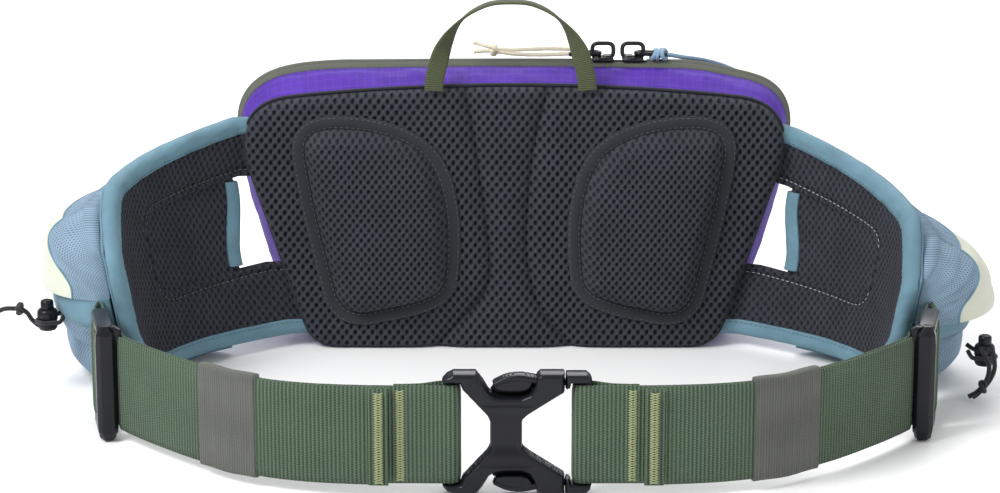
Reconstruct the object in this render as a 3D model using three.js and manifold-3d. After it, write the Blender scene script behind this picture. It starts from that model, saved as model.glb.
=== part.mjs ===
// A waist pack seen as its maker would lay it out: a bag with a padded back panel, two hip wings
// with cord-cinched pockets, and a webbing belt closed by a side-release buckle at the front.
// Millimetres. +Z is up, +X is the wearer's left-to-right axis, -Y points at the belt buckle.
// The origin is the centre of the flat base of the bag.
import * as THREE from 'three';
import { mergeVertices } from 'three/addons/utils/BufferGeometryUtils.js';
import Module from 'manifold-3d';

const wasm = await Module();
wasm.setup();

// ---------------------------------------------------------------- driving dimensions
const GAP = 0.3;                 // clearance between neighbouring pieces
const FABRIC = 1.5;              // thickness of a fabric layer

const PANEL = {
  baseHalf: 99,                  // half width of the flat bottom edge
  baseCornerX: 121,
  baseCornerZ: 17,
  sideX: 150,                    // widest straight point of the slanted side
  sideZ: 104,
  shoulderX: 128,
  shoulderZ: 144.5,
  height: 151.5,
  frontY: -50,                   // face that lies on the wearer's back
  thickness: 7,
};

// Rings of the bag behind the back panel: depth, width scale, height, and how flat the filled top lies.
const BAG_RINGS = [
  { y: -42.7, wide: 1.0, high: 152.5, flat: 0 },
  { y: -32, wide: 1.012, high: 157.5, flat: 0.6 },
  { y: -20, wide: 1.025, high: 161, flat: 0.85 },
  { y: -8, wide: 1.025, high: 159, flat: 0.8 },
  { y: 15, wide: 0.995, high: 146, flat: 0.4 },
  { y: 32, wide: 0.965, high: 122, flat: 0.1 },
  { y: 46, wide: 0.92, high: 96, flat: 0 },
];
const BAG = {
  rearBandEnd: -25.6,            // seam between rear band and zipper tape
  zipY: -20,
  zipGap: 2.6,                   // half the open track between the two tapes
  frontTapeEnd: -10.6,
  frontY: 46,
  zipStart: 0.305,               // where the zip begins and ends round the outline
  zipEnd: 0.695,
};
const SLIDER = { leftX: 50.5, rightX: 67.5, length: 12, width: 9, height: 5.6, eye: 1.5, eyeZ: 3.2 };

const BACK_PAD = { innerX: 30, outerX: 126, bottomZ: 15, topZ: 136, border: 7, rise: 9 };

const WING = {
  root: [156, -44],
  bendA: [198, -80],
  bendB: [225, -122],
  tip: [215, -172],
  thickness: 7,
  shellOut: 7.8,                 // the outer fabric starts this far from the inner face
  lean: 24,                      // how far the lower edge tucks in at the tip
  leanHeight: 120,
  rootSlope: 0.3,                // the root follows the slanted side of the bag
  rootSlopeTop: 105,
  lowZ: 9,
  topZ: 131,
  topFall: 22,
  cornerFall: 24,
  windowEnd: 0.55,
  windowLow: 0.33,
  windowHigh: 0.74,
  flapStart: 0.085,
};
const POCKET = {
  from: 0.24,
  to: 0.96,
  bulge: 42,
  bottomZ: 3,
  hemLow: 40,
  hemHeight: 18,
  mouth: 5,
  topFall: 6,
  sag: { left: 0, right: 8 },    // the right pocket hangs a little lower
};

const BELT = { z: 31, height: 50, thickness: 1.8 };
const LOCK = {                   // ladder-lock: three upright bars between two rails
  bar: [217.3, -188.6],          // anchor bar, on the swing axis of the belt
  along: [-0.21, -0.978],
  pitch: 15,
  height: 62,
  railHeight: 5.6,
  barRadius: 3,
};
const KEEPER = { leftX: [126, 156], rightX: [116, 148], slack: 0.9, thickness: 1.1 };
const BUCKLE = {
  y: -301,
  z: 31.2,
  halfHeight: 31.2,
  thickness: 13,
  channelHalf: 4.4,
  barX: 32.3,
  barRadius: 3.2,
  prongRootX: 25,
};

// ---------------------------------------------------------------- materials
const paint = (color, roughness, metalness = 0) =>
  new THREE.MeshStandardMaterial({ color, roughness, metalness });
const look = {
  spacerMesh: paint(0x3a3c45, 0.9),
  borderTape: paint(0x2c2d33, 0.85),
  ripstop: paint(0x5b3bb5, 0.7),
  zipTape: paint(0x5f6459, 0.85),
  plastic: paint(0x1f2028, 0.35),
  sheet: paint(0xd9dadb, 0.5),
  lining: paint(0x8a8f98, 0.8),
  handleWebbing: paint(0x4a5a38, 0.85),
  beltWebbing: paint(0x4d6b4d, 0.85),
  keeperElastic: paint(0x6b6d6a, 0.9),
  wingFabric: paint(0x7fa3b5, 0.8),
  pocketMesh: paint(0x8fa9c0, 0.85),
  cream: paint(0xeef0dc, 0.8),
  creamCord: paint(0xe9e0c5, 0.8),
  blueCord: paint(0x7fa0c0, 0.8),
  blackCord: paint(0x17181c, 0.8),
  pullMetal: paint(0x2a2b30, 0.4, 0.6),
};

// ---------------------------------------------------------------- geometry helpers
const vec = (x, y, z) => new THREE.Vector3(x, y, z);
const vec2 = (x, y) => new THREE.Vector2(x, y);
const mix = (a, b, t) => a + (b - a) * t;
const clamp01 = (t) => Math.min(1, Math.max(0, t));
const smooth = (t) => clamp01(t) ** 2 * (3 - 2 * clamp01(t));

function signedVolume(geometry) {
  const p = geometry.attributes.position;
  const index = geometry.index;
  const corner = (i) => new THREE.Vector3().fromBufferAttribute(p, index.getX(i));
  let volume = 0;
  for (let i = 0; i < index.count; i += 3) {
    volume += corner(i).dot(corner(i + 1).cross(corner(i + 2))) / 6;
  }
  return volume;
}

// Welds a geometry into one closed skin whose faces point out.
function closed(geometry) {
  geometry.deleteAttribute('normal');
  geometry.deleteAttribute('uv');
  const welded = mergeVertices(geometry, 1e-3);
  if (signedVolume(welded) < 0) {
    const index = welded.index;
    for (let i = 0; i < index.count; i += 3) {
      const first = index.getX(i);
      index.setX(i, index.getX(i + 2));
      index.setX(i + 2, first);
    }
  }
  welded.computeVertexNormals();
  return welded;
}

function toManifold(geometry) {
  const g = closed(geometry.clone());
  const mesh = new wasm.Mesh({
    numProp: 3,
    vertProperties: new Float32Array(g.attributes.position.array),
    triVerts: new Uint32Array(g.index.array),
  });
  return new wasm.Manifold(mesh);
}

function fromManifold(solid) {
  const mesh = solid.getMesh();
  const g = new THREE.BufferGeometry();
  g.setAttribute('position', new THREE.BufferAttribute(new Float32Array(mesh.vertProperties), 3));
  g.setIndex(new THREE.BufferAttribute(new Uint32Array(mesh.triVerts), 1));
  return closed(g);
}

function cut(base, ...tools) {
  let solid = toManifold(base);
  for (const tool of tools) solid = solid.subtract(toManifold(tool));
  return fromManifold(solid);
}

function join(...parts) {
  let solid = toManifold(parts[0]);
  for (const part of parts.slice(1)) solid = solid.add(toManifold(part));
  return fromManifold(solid);
}

// A box of nu x nv x nw cells whose unit coordinates are carried onto any curved slab.
function bent(nu, nv, nw, place) {
  const g = new THREE.BoxGeometry(1, 1, 1, nu, nv, nw);
  const p = g.attributes.position;
  for (let i = 0; i < p.count; i++) {
    const at = place(p.getX(i) + 0.5, p.getY(i) + 0.5, p.getZ(i) + 0.5);
    p.setXYZ(i, at.x, at.y, at.z);
  }
  return closed(g);
}

function block(x0, x1, y0, y1, z0, z1) {
  const g = new THREE.BoxGeometry(x1 - x0, y1 - y0, z1 - z0);
  g.translate((x0 + x1) / 2, (y0 + y1) / 2, (z0 + z1) / 2);
  return closed(g);
}

// A shape drawn in the XZ plane, extruded from y0 towards +Y.
function plateXZ(shape, y0, depth, bevel = 0, curveSegments = 10) {
  const options = { depth: depth - 2 * bevel, bevelEnabled: bevel > 0, curveSegments };
  Object.assign(options, { bevelSize: bevel, bevelOffset: -bevel, bevelThickness: bevel, bevelSegments: 1 });
  const g = new THREE.ExtrudeGeometry(shape, options);
  g.translate(0, 0, bevel);
  g.rotateX(Math.PI / 2);
  g.translate(0, y0 + depth, 0);
  return closed(g);
}

// A shape drawn in plan and extruded upwards.
function plateXY(shape, z0, height, curveSegments = 10) {
  const g = new THREE.ExtrudeGeometry(shape, { depth: height, bevelEnabled: false, curveSegments });
  g.translate(0, 0, z0);
  return closed(g);
}

function smoothPoints(points, count) {
  const curve = new THREE.SplineCurve(points.map(([x, y]) => vec2(x, y)));
  return curve.getSpacedPoints(count);
}

// The outline of a strip of even thickness along a line of plan points.
function stripShape(points, thickness) {
  const left = [];
  const right = [];
  points.forEach((p, i) => {
    const before = points[Math.max(0, i - 1)];
    const after = points[Math.min(points.length - 1, i + 1)];
    const t = after.clone().sub(before).normalize();
    const n = vec2(-t.y, t.x).multiplyScalar(thickness / 2);
    left.push(p.clone().add(n));
    right.push(p.clone().sub(n));
  });
  return new THREE.Shape([...left, ...right.reverse()]);
}

// A flat band swept along a space curve, its width turning from one direction to the next.
function band(points, widths, width, thickness, steps) {
  const path = new THREE.CatmullRomCurve3(points, false, 'centripetal');
  const turn = new THREE.CatmullRomCurve3(widths, false, 'centripetal');
  return bent(steps, 1, 1, (u, v, w) => {
    const tangent = path.getTangent(u);
    const across = turn.getPoint(u);
    across.addScaledVector(tangent, -across.dot(tangent)).normalize();
    const normal = new THREE.Vector3().crossVectors(tangent, across);
    const at = path.getPoint(u);
    at.addScaledVector(across, (v - 0.5) * width);
    return at.addScaledVector(normal, (w - 0.5) * thickness);
  });
}

// A round cord along a list of points.
function cord(points, radius, steps) {
  const path = new THREE.CatmullRomCurve3(points, false, 'centripetal');
  const section = new THREE.Shape();
  section.absarc(0, 0, radius, 0, Math.PI * 2);
  const g = new THREE.ExtrudeGeometry(section, { steps, curveSegments: 4, extrudePath: path });
  return closed(g);
}

// ---------------------------------------------------------------- scene assembly
const pack = new THREE.Group();
pack.name = 'waist_pack';

function add(name, geometry, material) {
  const mesh = new THREE.Mesh(geometry, material);
  mesh.name = name;
  pack.add(mesh);
}
const sideName = (side) => (side < 0 ? 'left' : 'right');

// ---------------------------------------------------------------- bag
// Outline of the bag seen from the wearer's side, from the middle of the base round and back.
function bagOutline() {
  const p = PANEL;
  const path = new THREE.Path();
  path.moveTo(0, 0);
  path.lineTo(p.baseHalf, 0);
  path.quadraticCurveTo(p.baseCornerX - 4, 0, p.baseCornerX, p.baseCornerZ);
  path.lineTo(p.sideX, p.sideZ);
  path.bezierCurveTo(p.sideX + 6, p.sideZ + 22, p.sideX, 141, p.shoulderX, p.shoulderZ);
  path.bezierCurveTo(95, 148.5, 45, p.height, 0, p.height);
  path.bezierCurveTo(-45, p.height, -95, 148.5, -p.shoulderX, p.shoulderZ);
  path.bezierCurveTo(-p.sideX, 141, -p.sideX - 6, p.sideZ + 22, -p.sideX, p.sideZ);
  path.lineTo(-p.baseCornerX, p.baseCornerZ);
  path.quadraticCurveTo(-p.baseCornerX + 4, 0, -p.baseHalf, 0);
  path.lineTo(0, 0);
  return path;
}
const outline = bagOutline();

// A point of the outline and the direction into the bag, both at arc-length share s.
function outlineAt(s) {
  const at = outline.getPointAt(clamp01(s));
  const t = outline.getTangentAt(clamp01(s));
  return { at, inward: vec2(-t.y, t.x) };
}

function insetOutline(inset, count = 64, wide = 1, high = 1) {
  const points = [];
  for (let i = 0; i < count; i++) {
    const { at, inward } = outlineAt(i / count);
    points.push(vec2(at.x * wide + inward.x * inset, at.y * high + inward.y * inset));
  }
  return new THREE.Shape(points);
}

function ringAt(y) {
  let i = 0;
  while (i < BAG_RINGS.length - 2 && y > BAG_RINGS[i + 1].y) i++;
  const a = BAG_RINGS[i];
  const b = BAG_RINGS[i + 1];
  const t = (y - a.y) / (b.y - a.y);
  return {
    wide: mix(a.wide, b.wide, t),
    high: mix(a.high, b.high, t) / PANEL.height,
    flat: mix(a.flat, b.flat, t),
  };
}

// A point of the bag's wall at outline share s and depth y.
// The filled top edge lies flatter than the panel's.
function bagPoint(s, y, inset) {
  const { at, inward } = outlineAt(s);
  const ring = ringAt(y);
  const nearTop = at.y > PANEL.sideZ ? 1 - smooth((Math.abs(at.x) - 100) / 28) : 0;
  const height = mix(at.y, PANEL.height, ring.flat * nearTop);
  const x = at.x * ring.wide + inward.x * inset;
  const z = height * ring.high + inward.y * inset;
  return vec(x, y, z);
}

// One fabric strip of the bag's wall, from share s0 to s1 round the outline and from y0 to y1.
function bagStrip(s0, s1, y0, y1, nu, nv, thickness = FABRIC, lift = 0) {
  return bent(nu, nv, 1, (u, v, w) => bagPoint(mix(s0, s1, u), mix(y0, y1, v), w * thickness - lift));
}

function backPanel() {
  add('back_panel', plateXZ(insetOutline(0), PANEL.frontY, PANEL.thickness, 1.5), look.spacerMesh);
  const sheetY = PANEL.frontY + PANEL.thickness + GAP;
  add('frame_sheet', plateXZ(insetOutline(9, 48), sheetY + 0.3, 1.6), look.sheet);
}

// Outline of one moulded back pad: a rounded trapezoid, wider at the top outside.
function padPath() {
  const { innerX: inner, outerX: outer, bottomZ: low, topZ: high } = BACK_PAD;
  const path = new THREE.Path();
  path.moveTo(inner + 2, low + 26);
  path.bezierCurveTo(inner - 2, low + 60, inner + 2, high - 36, inner + 12, high - 22);
  path.bezierCurveTo(inner + 22, high - 8, inner + 44, high, outer - 26, high);
  path.bezierCurveTo(outer - 8, high, outer + 1, high - 8, outer - 1, high - 24);
  path.bezierCurveTo(outer - 6, high - 60, outer - 12, low + 40, outer - 18, low + 14);
  path.bezierCurveTo(outer - 24, low, outer - 36, low - 3, outer - 50, low + 1);
  path.bezierCurveTo(inner + 16, low + 6, inner + 4, low + 12, inner + 2, low + 26);
  return path;
}

// The same outline moved inwards by an even distance.
function padOutline(inset, count = 44) {
  const path = padPath();
  const points = [];
  for (let i = 0; i < count; i++) {
    const at = path.getPointAt(i / count);
    const t = path.getTangentAt(i / count);
    points.push(vec2(at.x + t.y * inset, at.y - t.x * inset));
  }
  return points;
}

function mirroredX(geometry, side) {
  if (side < 0) geometry.scale(-1, 1, 1);
  return closed(geometry);
}

function backPads() {
  const p = BACK_PAD;
  const face = PANEL.frontY - GAP;
  for (const side of [-1, 1]) {
    const pad = plateXZ(new THREE.Shape(padOutline(p.border)), face - p.rise, p.rise, 4, 8);
    add(`${sideName(side)}_back_pad`, mirroredX(pad, side), look.spacerMesh);
    const ring = new THREE.Shape(padOutline(0));
    ring.holes.push(new THREE.Path(padOutline(p.border - 0.6).reverse()));
    const border = plateXZ(ring, face - 2, 2, 0, 8);
    add(`${sideName(side)}_pad_border`, mirroredX(border, side), look.borderTape);
  }
}

function bagWalls() {
  const rear = PANEL.frontY + PANEL.thickness + GAP;
  const b = BAG;
  const s0 = b.zipStart - 0.035;
  const s1 = b.zipEnd + 0.035;
  const seam = 0.0008;
  add('rear_top_band', bagStrip(s0, s1, rear, b.rearBandEnd, 30, 2), look.ripstop);
  add('front_top_band', bagStrip(s0, s1, b.frontTapeEnd + GAP, b.frontY, 30, 4), look.ripstop);
  for (const side of [-1, 1]) {
    const from = side < 0 ? s1 + seam : 0.135;
    const to = side < 0 ? 0.865 : s0 - seam;
    add(`${sideName(side)}_side_panel`, bagStrip(from, to, rear, b.frontY, 8, 6), look.ripstop);
  }
  const bottom = bent(12, 3, 1, (u, v, w) => {
    const s = mix(-0.134, 0.134, u);
    return bagPoint(s < 0 ? s + 1 : s, mix(rear, b.frontY, v), w * FABRIC);
  });
  add('bottom_panel', bottom, look.ripstop);
}

function bagFront() {
  const ring = ringAt(BAG.frontY);
  const y = BAG.frontY + GAP;
  add('front_panel', plateXZ(insetOutline(0, 56, ring.wide, ring.high), y, 2.2), look.ripstop);
  const pocketY = y + 2.2 + GAP;
  const zipZ = 66;
  const pocket = plateXZ(insetOutline(4, 48, ring.wide, ring.high), pocketY, 2.4);
  const above = block(-200, 200, pocketY - 1, pocketY + 5, zipZ - 4.6, 200);
  const below = block(-200, 200, pocketY - 1, pocketY + 5, -10, zipZ + 4.6);
  add('front_pocket', cut(pocket, above), look.wingFabric);
  add('front_flap', cut(pocket, below), look.ripstop);
  const tape = block(-104, 104, pocketY, pocketY + 1.2, zipZ - 4.3, zipZ + 4.3);
  add('front_zipper', tape, look.zipTape);
  const sliderY = pocketY + 1.2 + GAP;
  add('front_slider', block(-92, -83, sliderY, sliderY + 3.4, zipZ - 3.6, zipZ + 3.6), look.pullMetal);
  const pullY = sliderY + 1.6;
  const pull = new THREE.Shape();
  pull.moveTo(-90, zipZ - 4.2);
  pull.lineTo(-85, zipZ - 4.2);
  pull.lineTo(-84.5, zipZ - 26);
  pull.quadraticCurveTo(-87.5, zipZ - 31, -90.5, zipZ - 26);
  add('front_pull_tab', plateXZ(pull, pullY, 1.8, 0, 6), look.wingFabric);
}

// ---------------------------------------------------------------- main zipper
function mainZipper() {
  const b = BAG;
  const rearEdge = b.zipY - b.zipGap;
  const frontEdge = b.zipY + b.zipGap;
  const s0 = b.zipStart - 0.03;
  const s1 = b.zipEnd + 0.03;
  add('zipper_tape_rear', bagStrip(s0, s1, b.rearBandEnd + GAP, rearEdge, 30, 1, 1.2), look.zipTape);
  add('zipper_tape_front', bagStrip(s0, s1, frontEdge, b.frontTapeEnd, 30, 1, 1.2), look.zipTape);
  const coil = (from, to, nu) => bagStrip(from, to, rearEdge + GAP, frontEdge - GAP, nu, 1, 2, 0.4);
  add('zipper_coil_right', coil(s0, shareAtX(SLIDER.rightX + 6.4), 12), look.zipTape);
  add('zipper_coil_left', coil(shareAtX(SLIDER.leftX - 6.4), s1, 20), look.zipTape);
}

// Share of the outline whose point on the top edge has the given x.
function shareAtX(x) {
  let low = 0.3;
  let high = 0.7;
  for (let i = 0; i < 40; i++) {
    const middle = (low + high) / 2;
    if (outline.getPointAt(middle).x > x) low = middle;
    else high = middle;
  }
  return low;
}

function zipTopZ(x) {
  return bagPoint(shareAtX(x), BAG.zipY, 0).z;
}

// A slider body straddling the coil, with a bail on top for its pull.
function slider(name, x) {
  const s = SLIDER;
  const z = zipTopZ(0) + 1.4;
  const [halfLong, halfWide] = [s.length / 2, s.width / 2];
  const body = block(x - halfLong, x + halfLong, BAG.zipY - halfWide, BAG.zipY + halfWide, z, z + 2);
  const post = block(x - 4, x + 4, BAG.zipY - 1.4, BAG.zipY + 1.4, z + 1, z + s.height);
  const eye = new THREE.CylinderGeometry(s.eye, s.eye, 10, 12);
  eye.translate(x, BAG.zipY, z + s.eyeZ);
  add(name, cut(join(body, post), eye), look.pullMetal);
  return z;
}

// A moulded pull: a ring through the bail with a tongue that carries the cord.
function pull(name, x, z, towards) {
  const outer = new THREE.Shape();
  const half = 3.4;
  const length = 17;
  outer.moveTo(-0.7, -half);
  outer.lineTo(length - 3, -half);
  outer.quadraticCurveTo(length + 1, 0, length - 3, half);
  outer.lineTo(-0.7, half);
  const hole = new THREE.Path();
  hole.moveTo(0.7, -2.2);
  hole.lineTo(5, -2.2);
  hole.lineTo(5, 2.2);
  hole.lineTo(0.7, 2.2);
  outer.holes.push(hole);
  const g = new THREE.ExtrudeGeometry(outer, { depth: 1.4, bevelEnabled: false, curveSegments: 6 });
  g.translate(0, 0, -0.7);
  if (towards < 0) g.rotateZ(Math.PI);
  g.translate(x, BAG.zipY, z + SLIDER.eyeZ);
  add(name, closed(g), look.plastic);
}

function slidersAndPulls() {
  const z = slider('slider_left', SLIDER.leftX);
  slider('slider_right', SLIDER.rightX);
  pull('pull_left', SLIDER.leftX, z, -1);
  pull('pull_right', SLIDER.rightX, z, 1);
}

// ---------------------------------------------------------------- haul handle
function haulHandle() {
  const middle = -2;
  const rightLeg = [
    [13.4, -41, 197.6], [27, -44, 190], [37, -49, 176], [42, -51.5, 160], [43, -51.2, 153],
  ];
  const leftLeg = rightLeg.map(([x, y, z]) => [-x, y, z]).reverse();
  const points = [...leftLeg, [0, -40, 199], ...rightLeg].map(([x, y, z]) => vec(middle + x, y, z));
  const turns = [
    vec(1, 0, 0), vec(1, 0.1, 0), vec(0.7, 0.7, 0), vec(0.2, 1, 0),
    vec(0, 1, 0), vec(0, 1, 0), vec(0, 1, 0),
    vec(-0.2, 1, 0), vec(-0.7, 0.7, 0), vec(-1, 0.1, 0), vec(-1, 0, 0),
  ];
  add('haul_handle', band(points, turns, 10.5, 1.7, 28), look.handleWebbing);
}

// ---------------------------------------------------------------- hip wings
const wingPlan = new THREE.CubicBezierCurve(
  vec2(...WING.root), vec2(...WING.bendA), vec2(...WING.bendB), vec2(...WING.tip),
);

// A point of a wing at share t along its plan curve, height z and distance out from its inner face.
// Below share 0 the curve runs straight on, for tools that cut through the root.
function wingPoint(side, t, z, out) {
  const at = wingPlan.getPoint(clamp01(t));
  const tangent = wingPlan.getTangent(clamp01(t));
  at.addScaledVector(tangent, Math.min(0, t) * 100);
  const lean = WING.lean * clamp01(t) * (1 - z / WING.leanHeight);
  const slope = WING.rootSlope * Math.max(0, WING.rootSlopeTop - z) * (1 - clamp01(t)) ** 2;
  const x = at.x - tangent.y * out - lean - slope;
  const y = at.y + tangent.x * out;
  return vec(side * x, y, z);
}

const wingTop = (u) => WING.topZ - WING.topFall * u - WING.cornerFall * smooth((u - 0.7) / 0.3) ** 1.5;
const wingEnd = (v) => mix(0.62, 0.9, Math.sin((Math.PI / 2) * clamp01(v / 0.5)) ** 0.9);

// A slab of a wing between shares of its length (u), height (v) and two distances out.
function wingSlab(side, [u0, u1], [v0, v1], [out0, out1], nu, nv) {
  return bent(nu, nv, 1, (a, b, c) => {
    const u = mix(u0, u1, a);
    const v = mix(v0, v1, b);
    const z = mix(WING.lowZ, wingTop(u), v);
    return wingPoint(side, u * wingEnd(v), z, mix(out0, out1, c));
  });
}

function wing(side) {
  const name = sideName(side);
  const w = WING;
  const slab = wingSlab(side, [0, 1], [0, 1], [0, w.thickness], 14, 6);
  const windowDepth = [-4, w.thickness + 4];
  const window = wingSlab(side, [-0.2, w.windowEnd], [w.windowLow, w.windowHigh], windowDepth, 8, 1);
  add(`${name}_wing_pad`, cut(slab, window), look.spacerMesh);
  const flapV = [w.windowLow + 0.016, w.windowHigh - 0.016];
  const flap = wingSlab(side, [w.flapStart, w.windowEnd - 0.02], flapV, [2.5, w.thickness - 0.8], 7, 2);
  add(`${name}_wing_flap`, flap, look.spacerMesh);
  const shellOut = [w.shellOut, w.shellOut + FABRIC];
  const shell = wingSlab(side, [w.flapStart, 0.99], [0.01, 0.99], shellOut, 12, 5);
  add(`${name}_wing_shell`, shell, look.wingFabric);
}

// The bulge of a pocket over the wing, 0 at its sides and 1 over most of its width.
const pocketArch = (a) => Math.sin(Math.PI * clamp01(a)) ** 0.45;

function pocketPoint(side, a, z, out) {
  const u = mix(POCKET.from, POCKET.to, a);
  const v = (z - WING.lowZ) / (wingTop(u) - WING.lowZ);
  return wingPoint(side, u * wingEnd(v), z, out);
}

function wingPocket(side) {
  const name = sideName(side);
  const p = POCKET;
  const base = WING.shellOut + FABRIC + 0.6;
  const hemLow = p.hemLow - p.sag[name];
  const hemHigh = hemLow + p.hemHeight;
  const quarter = (share) => Math.sqrt(Math.max(0, 1 - share ** 2));
  const wall = (a, z) => {
    const bulge = p.bulge * quarter((hemLow - z) / (hemLow - p.bottomZ + 4));
    return base + FABRIC + (bulge - 2) * pocketArch(a);
  };
  const lower = bent(10, 5, 1, (a, b, c) => {
    const z = mix(p.bottomZ, hemLow, b);
    return pocketPoint(side, a, z, wall(a, z) - FABRIC * (1 - c));
  });
  const floor = bent(10, 1, 1, (a, b, c) => {
    const z = mix(p.bottomZ, p.bottomZ + FABRIC, b);
    return pocketPoint(side, a, z, mix(base, wall(a, z) - 0.2, c));
  });
  add(`${name}_pocket_lower`, join(lower, floor), look.pocketMesh);
  const hem = bent(10, 1, 1, (a, b, c) => {
    const z = mix(hemLow + GAP, hemHigh, b);
    return pocketPoint(side, a, z, wall(a, hemLow) + 0.5 - 1.2 * (1 - c));
  });
  add(`${name}_pocket_hem`, hem, look.wingFabric);
  const upper = bent(10, 5, 1, (a, b, c) => {
    const u = mix(p.from, p.to, a);
    const z = mix(hemHigh + p.mouth, wingTop(u) - p.topFall, b);
    const crown = quarter(smooth((b - 0.15) / 0.85) * 0.97);
    return pocketPoint(side, a, z, base + c * (1 + (p.bulge + 1) * pocketArch(a) * crown));
  });
  add(`${name}_pocket_upper`, upper, look.cream);
}

// Webbing sewn to the wing, wrapped round the ladder-lock's anchor bar.
function anchorWebbing(side) {
  const [bx, by] = LOCK.bar;
  const r = LOCK.barRadius + GAP + BELT.thickness / 2;
  const points = [vec2(223.4, -151), vec2(223.6, -160), vec2(222.8, -169), vec2(bx + r + 0.2, by + 10)];
  for (let i = 0; i <= 8; i++) {
    const angle = -(Math.PI * i) / 8;
    points.push(vec2(bx + r * Math.cos(angle), by + r * Math.sin(angle)));
  }
  points.push(vec2(bx - r + 0.6, by + 8), vec2(215.8, -171), vec2(219.4, -161), vec2(221, -151));
  const g = plateXY(stripShape(points, BELT.thickness), BELT.z - BELT.height / 2 + 0.5, BELT.height - 0.5);
  add(`${sideName(side)}_anchor_webbing`, mirroredX(g, side), look.beltWebbing);
}

// ---------------------------------------------------------------- cord locks on the pocket hems
const CORD_LOCK = { radius: 5.6, length: 12, bore: 3.9, boreDepth: 7.5, plungerOut: 4.2, plunger: 8 };

function cordLock(side, at) {
  const c = CORD_LOCK;
  const barrel = new THREE.LatheGeometry([
    vec2(0, 0), vec2(c.radius - 2, 0), vec2(c.radius, 2),
    vec2(c.radius, c.length - 2), vec2(c.radius - 1, c.length),
    vec2(c.bore, c.length), vec2(c.bore, c.length - c.boreDepth), vec2(0, c.length - c.boreDepth),
  ], 12);
  const low = c.length - c.boreDepth + c.plungerOut + GAP;
  const high = low + c.plunger;
  const plunger = new THREE.LatheGeometry([
    vec2(0, low), vec2(c.bore - GAP, low), vec2(c.bore - GAP, high - 1.5), vec2(c.bore - 1.4, high),
    vec2(0, high),
  ], 12);
  for (const [part, g] of [['barrel', barrel], ['plunger', plunger]]) {
    g.rotateX(Math.PI / 2);
    g.translate(...at);
    add(`${sideName(side)}_cord_lock_${part}`, closed(g), look.plastic);
  }
}

// ---------------------------------------------------------------- ladder-locks
const lockAlong = vec2(...LOCK.along).normalize();

// A plan point beside a ladder-lock: a distance along it from the anchor bar, and one out from it.
function lockPoint(distance, out) {
  const x = LOCK.bar[0] + lockAlong.x * distance - lockAlong.y * out;
  return vec2(x, LOCK.bar[1] + lockAlong.y * distance + lockAlong.x * out);
}

function ladderLock(side) {
  const l = LOCK;
  const heading = Math.atan2(lockAlong.y, lockAlong.x);
  const placed = (g, distance, z) => {
    const at = lockPoint(distance, 0);
    return g.translate(at.x, at.y, z);
  };
  const bar = (distance) => {
    const g = new THREE.CylinderGeometry(l.barRadius, l.barRadius, l.height - 4, 12).rotateX(Math.PI / 2);
    return placed(g, distance, l.height / 2);
  };
  const rail = (z) => {
    const g = new THREE.BoxGeometry(2 * l.pitch + 9, 8.4, l.railHeight).rotateZ(heading);
    return placed(g, l.pitch, z);
  };
  const shape = new THREE.Shape([
    vec2(-4.8, -3), vec2(-2.6, -5.2), vec2(2.6, -5.2), vec2(4.8, -3),
    vec2(4.8, 3), vec2(2.6, 5.2), vec2(-2.6, 5.2), vec2(-4.8, 3),
  ]);
  const front = new THREE.ExtrudeGeometry(shape, { depth: l.height, bevelEnabled: false });
  const g = join(
    bar(0), bar(l.pitch), placed(front.rotateZ(heading), 2 * l.pitch, 0),
    rail(l.railHeight / 2), rail(l.height - l.railHeight / 2),
  );
  add(`${sideName(side)}_ladder_lock`, mirroredX(g, side), look.plastic);
}

// ---------------------------------------------------------------- belt
// Plan line of the belt's main layer from the ladder-lock to the buckle, right half.
const BELT_LINE = [
  [202.2, -217.5], [195.5, -226.5], [181, -243.5], [157, -268],
  [129, -289.5], [104, -299.5], [76, -304], [50, -305],
];
const BELT_STEPS = 28;
const TAIL_END_X = 63;
const beltLine = smoothPoints(BELT_LINE, BELT_STEPS);

// Points of the belt line moved outwards, away from the wearer.
function beltOffset(distance) {
  return beltLine.map((p, i) => {
    const before = beltLine[Math.max(0, i - 1)];
    const after = beltLine[Math.min(BELT_STEPS, i + 1)];
    const tangent = after.clone().sub(before).normalize();
    return vec2(p.x - tangent.y * distance, p.y + tangent.x * distance);
  });
}

function beltStrip(side, name, points) {
  const g = plateXY(stripShape(points, BELT.thickness), BELT.z - BELT.height / 2, BELT.height);
  add(`${sideName(side)}_${name}`, mirroredX(g, side), look.beltWebbing);
}

// The main layer: from the ladder-lock's middle bar, round the buckle's bar and back on itself.
function beltStrap(side) {
  const { barX, barRadius, y } = BUCKLE;
  const r = barRadius + GAP + BELT.thickness / 2;
  const points = [lockPoint(16, -5), lockPoint(24.6, -8.9), ...beltLine];
  for (let i = 0; i <= 8; i++) {
    const angle = -Math.PI / 2 - (Math.PI * i) / 8;
    points.push(vec2(barX + r * Math.cos(angle), y + r * Math.sin(angle)));
  }
  points.push(vec2(38, y + 3.6), vec2(46, y - 0.4), vec2(54, -302.6), vec2(63, -302.4));
  beltStrip(side, 'strap', points);
}

// The free end, threaded back out of the ladder-lock and lying on the outside of the main layer.
function beltTail(side) {
  const outer = beltOffset(BELT.thickness + GAP).filter((p) => p.x > TAIL_END_X);
  beltStrip(side, 'strap_tail', [lockPoint(22, -4.8), lockPoint(24.6, -6.7), ...outer]);
}

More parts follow.
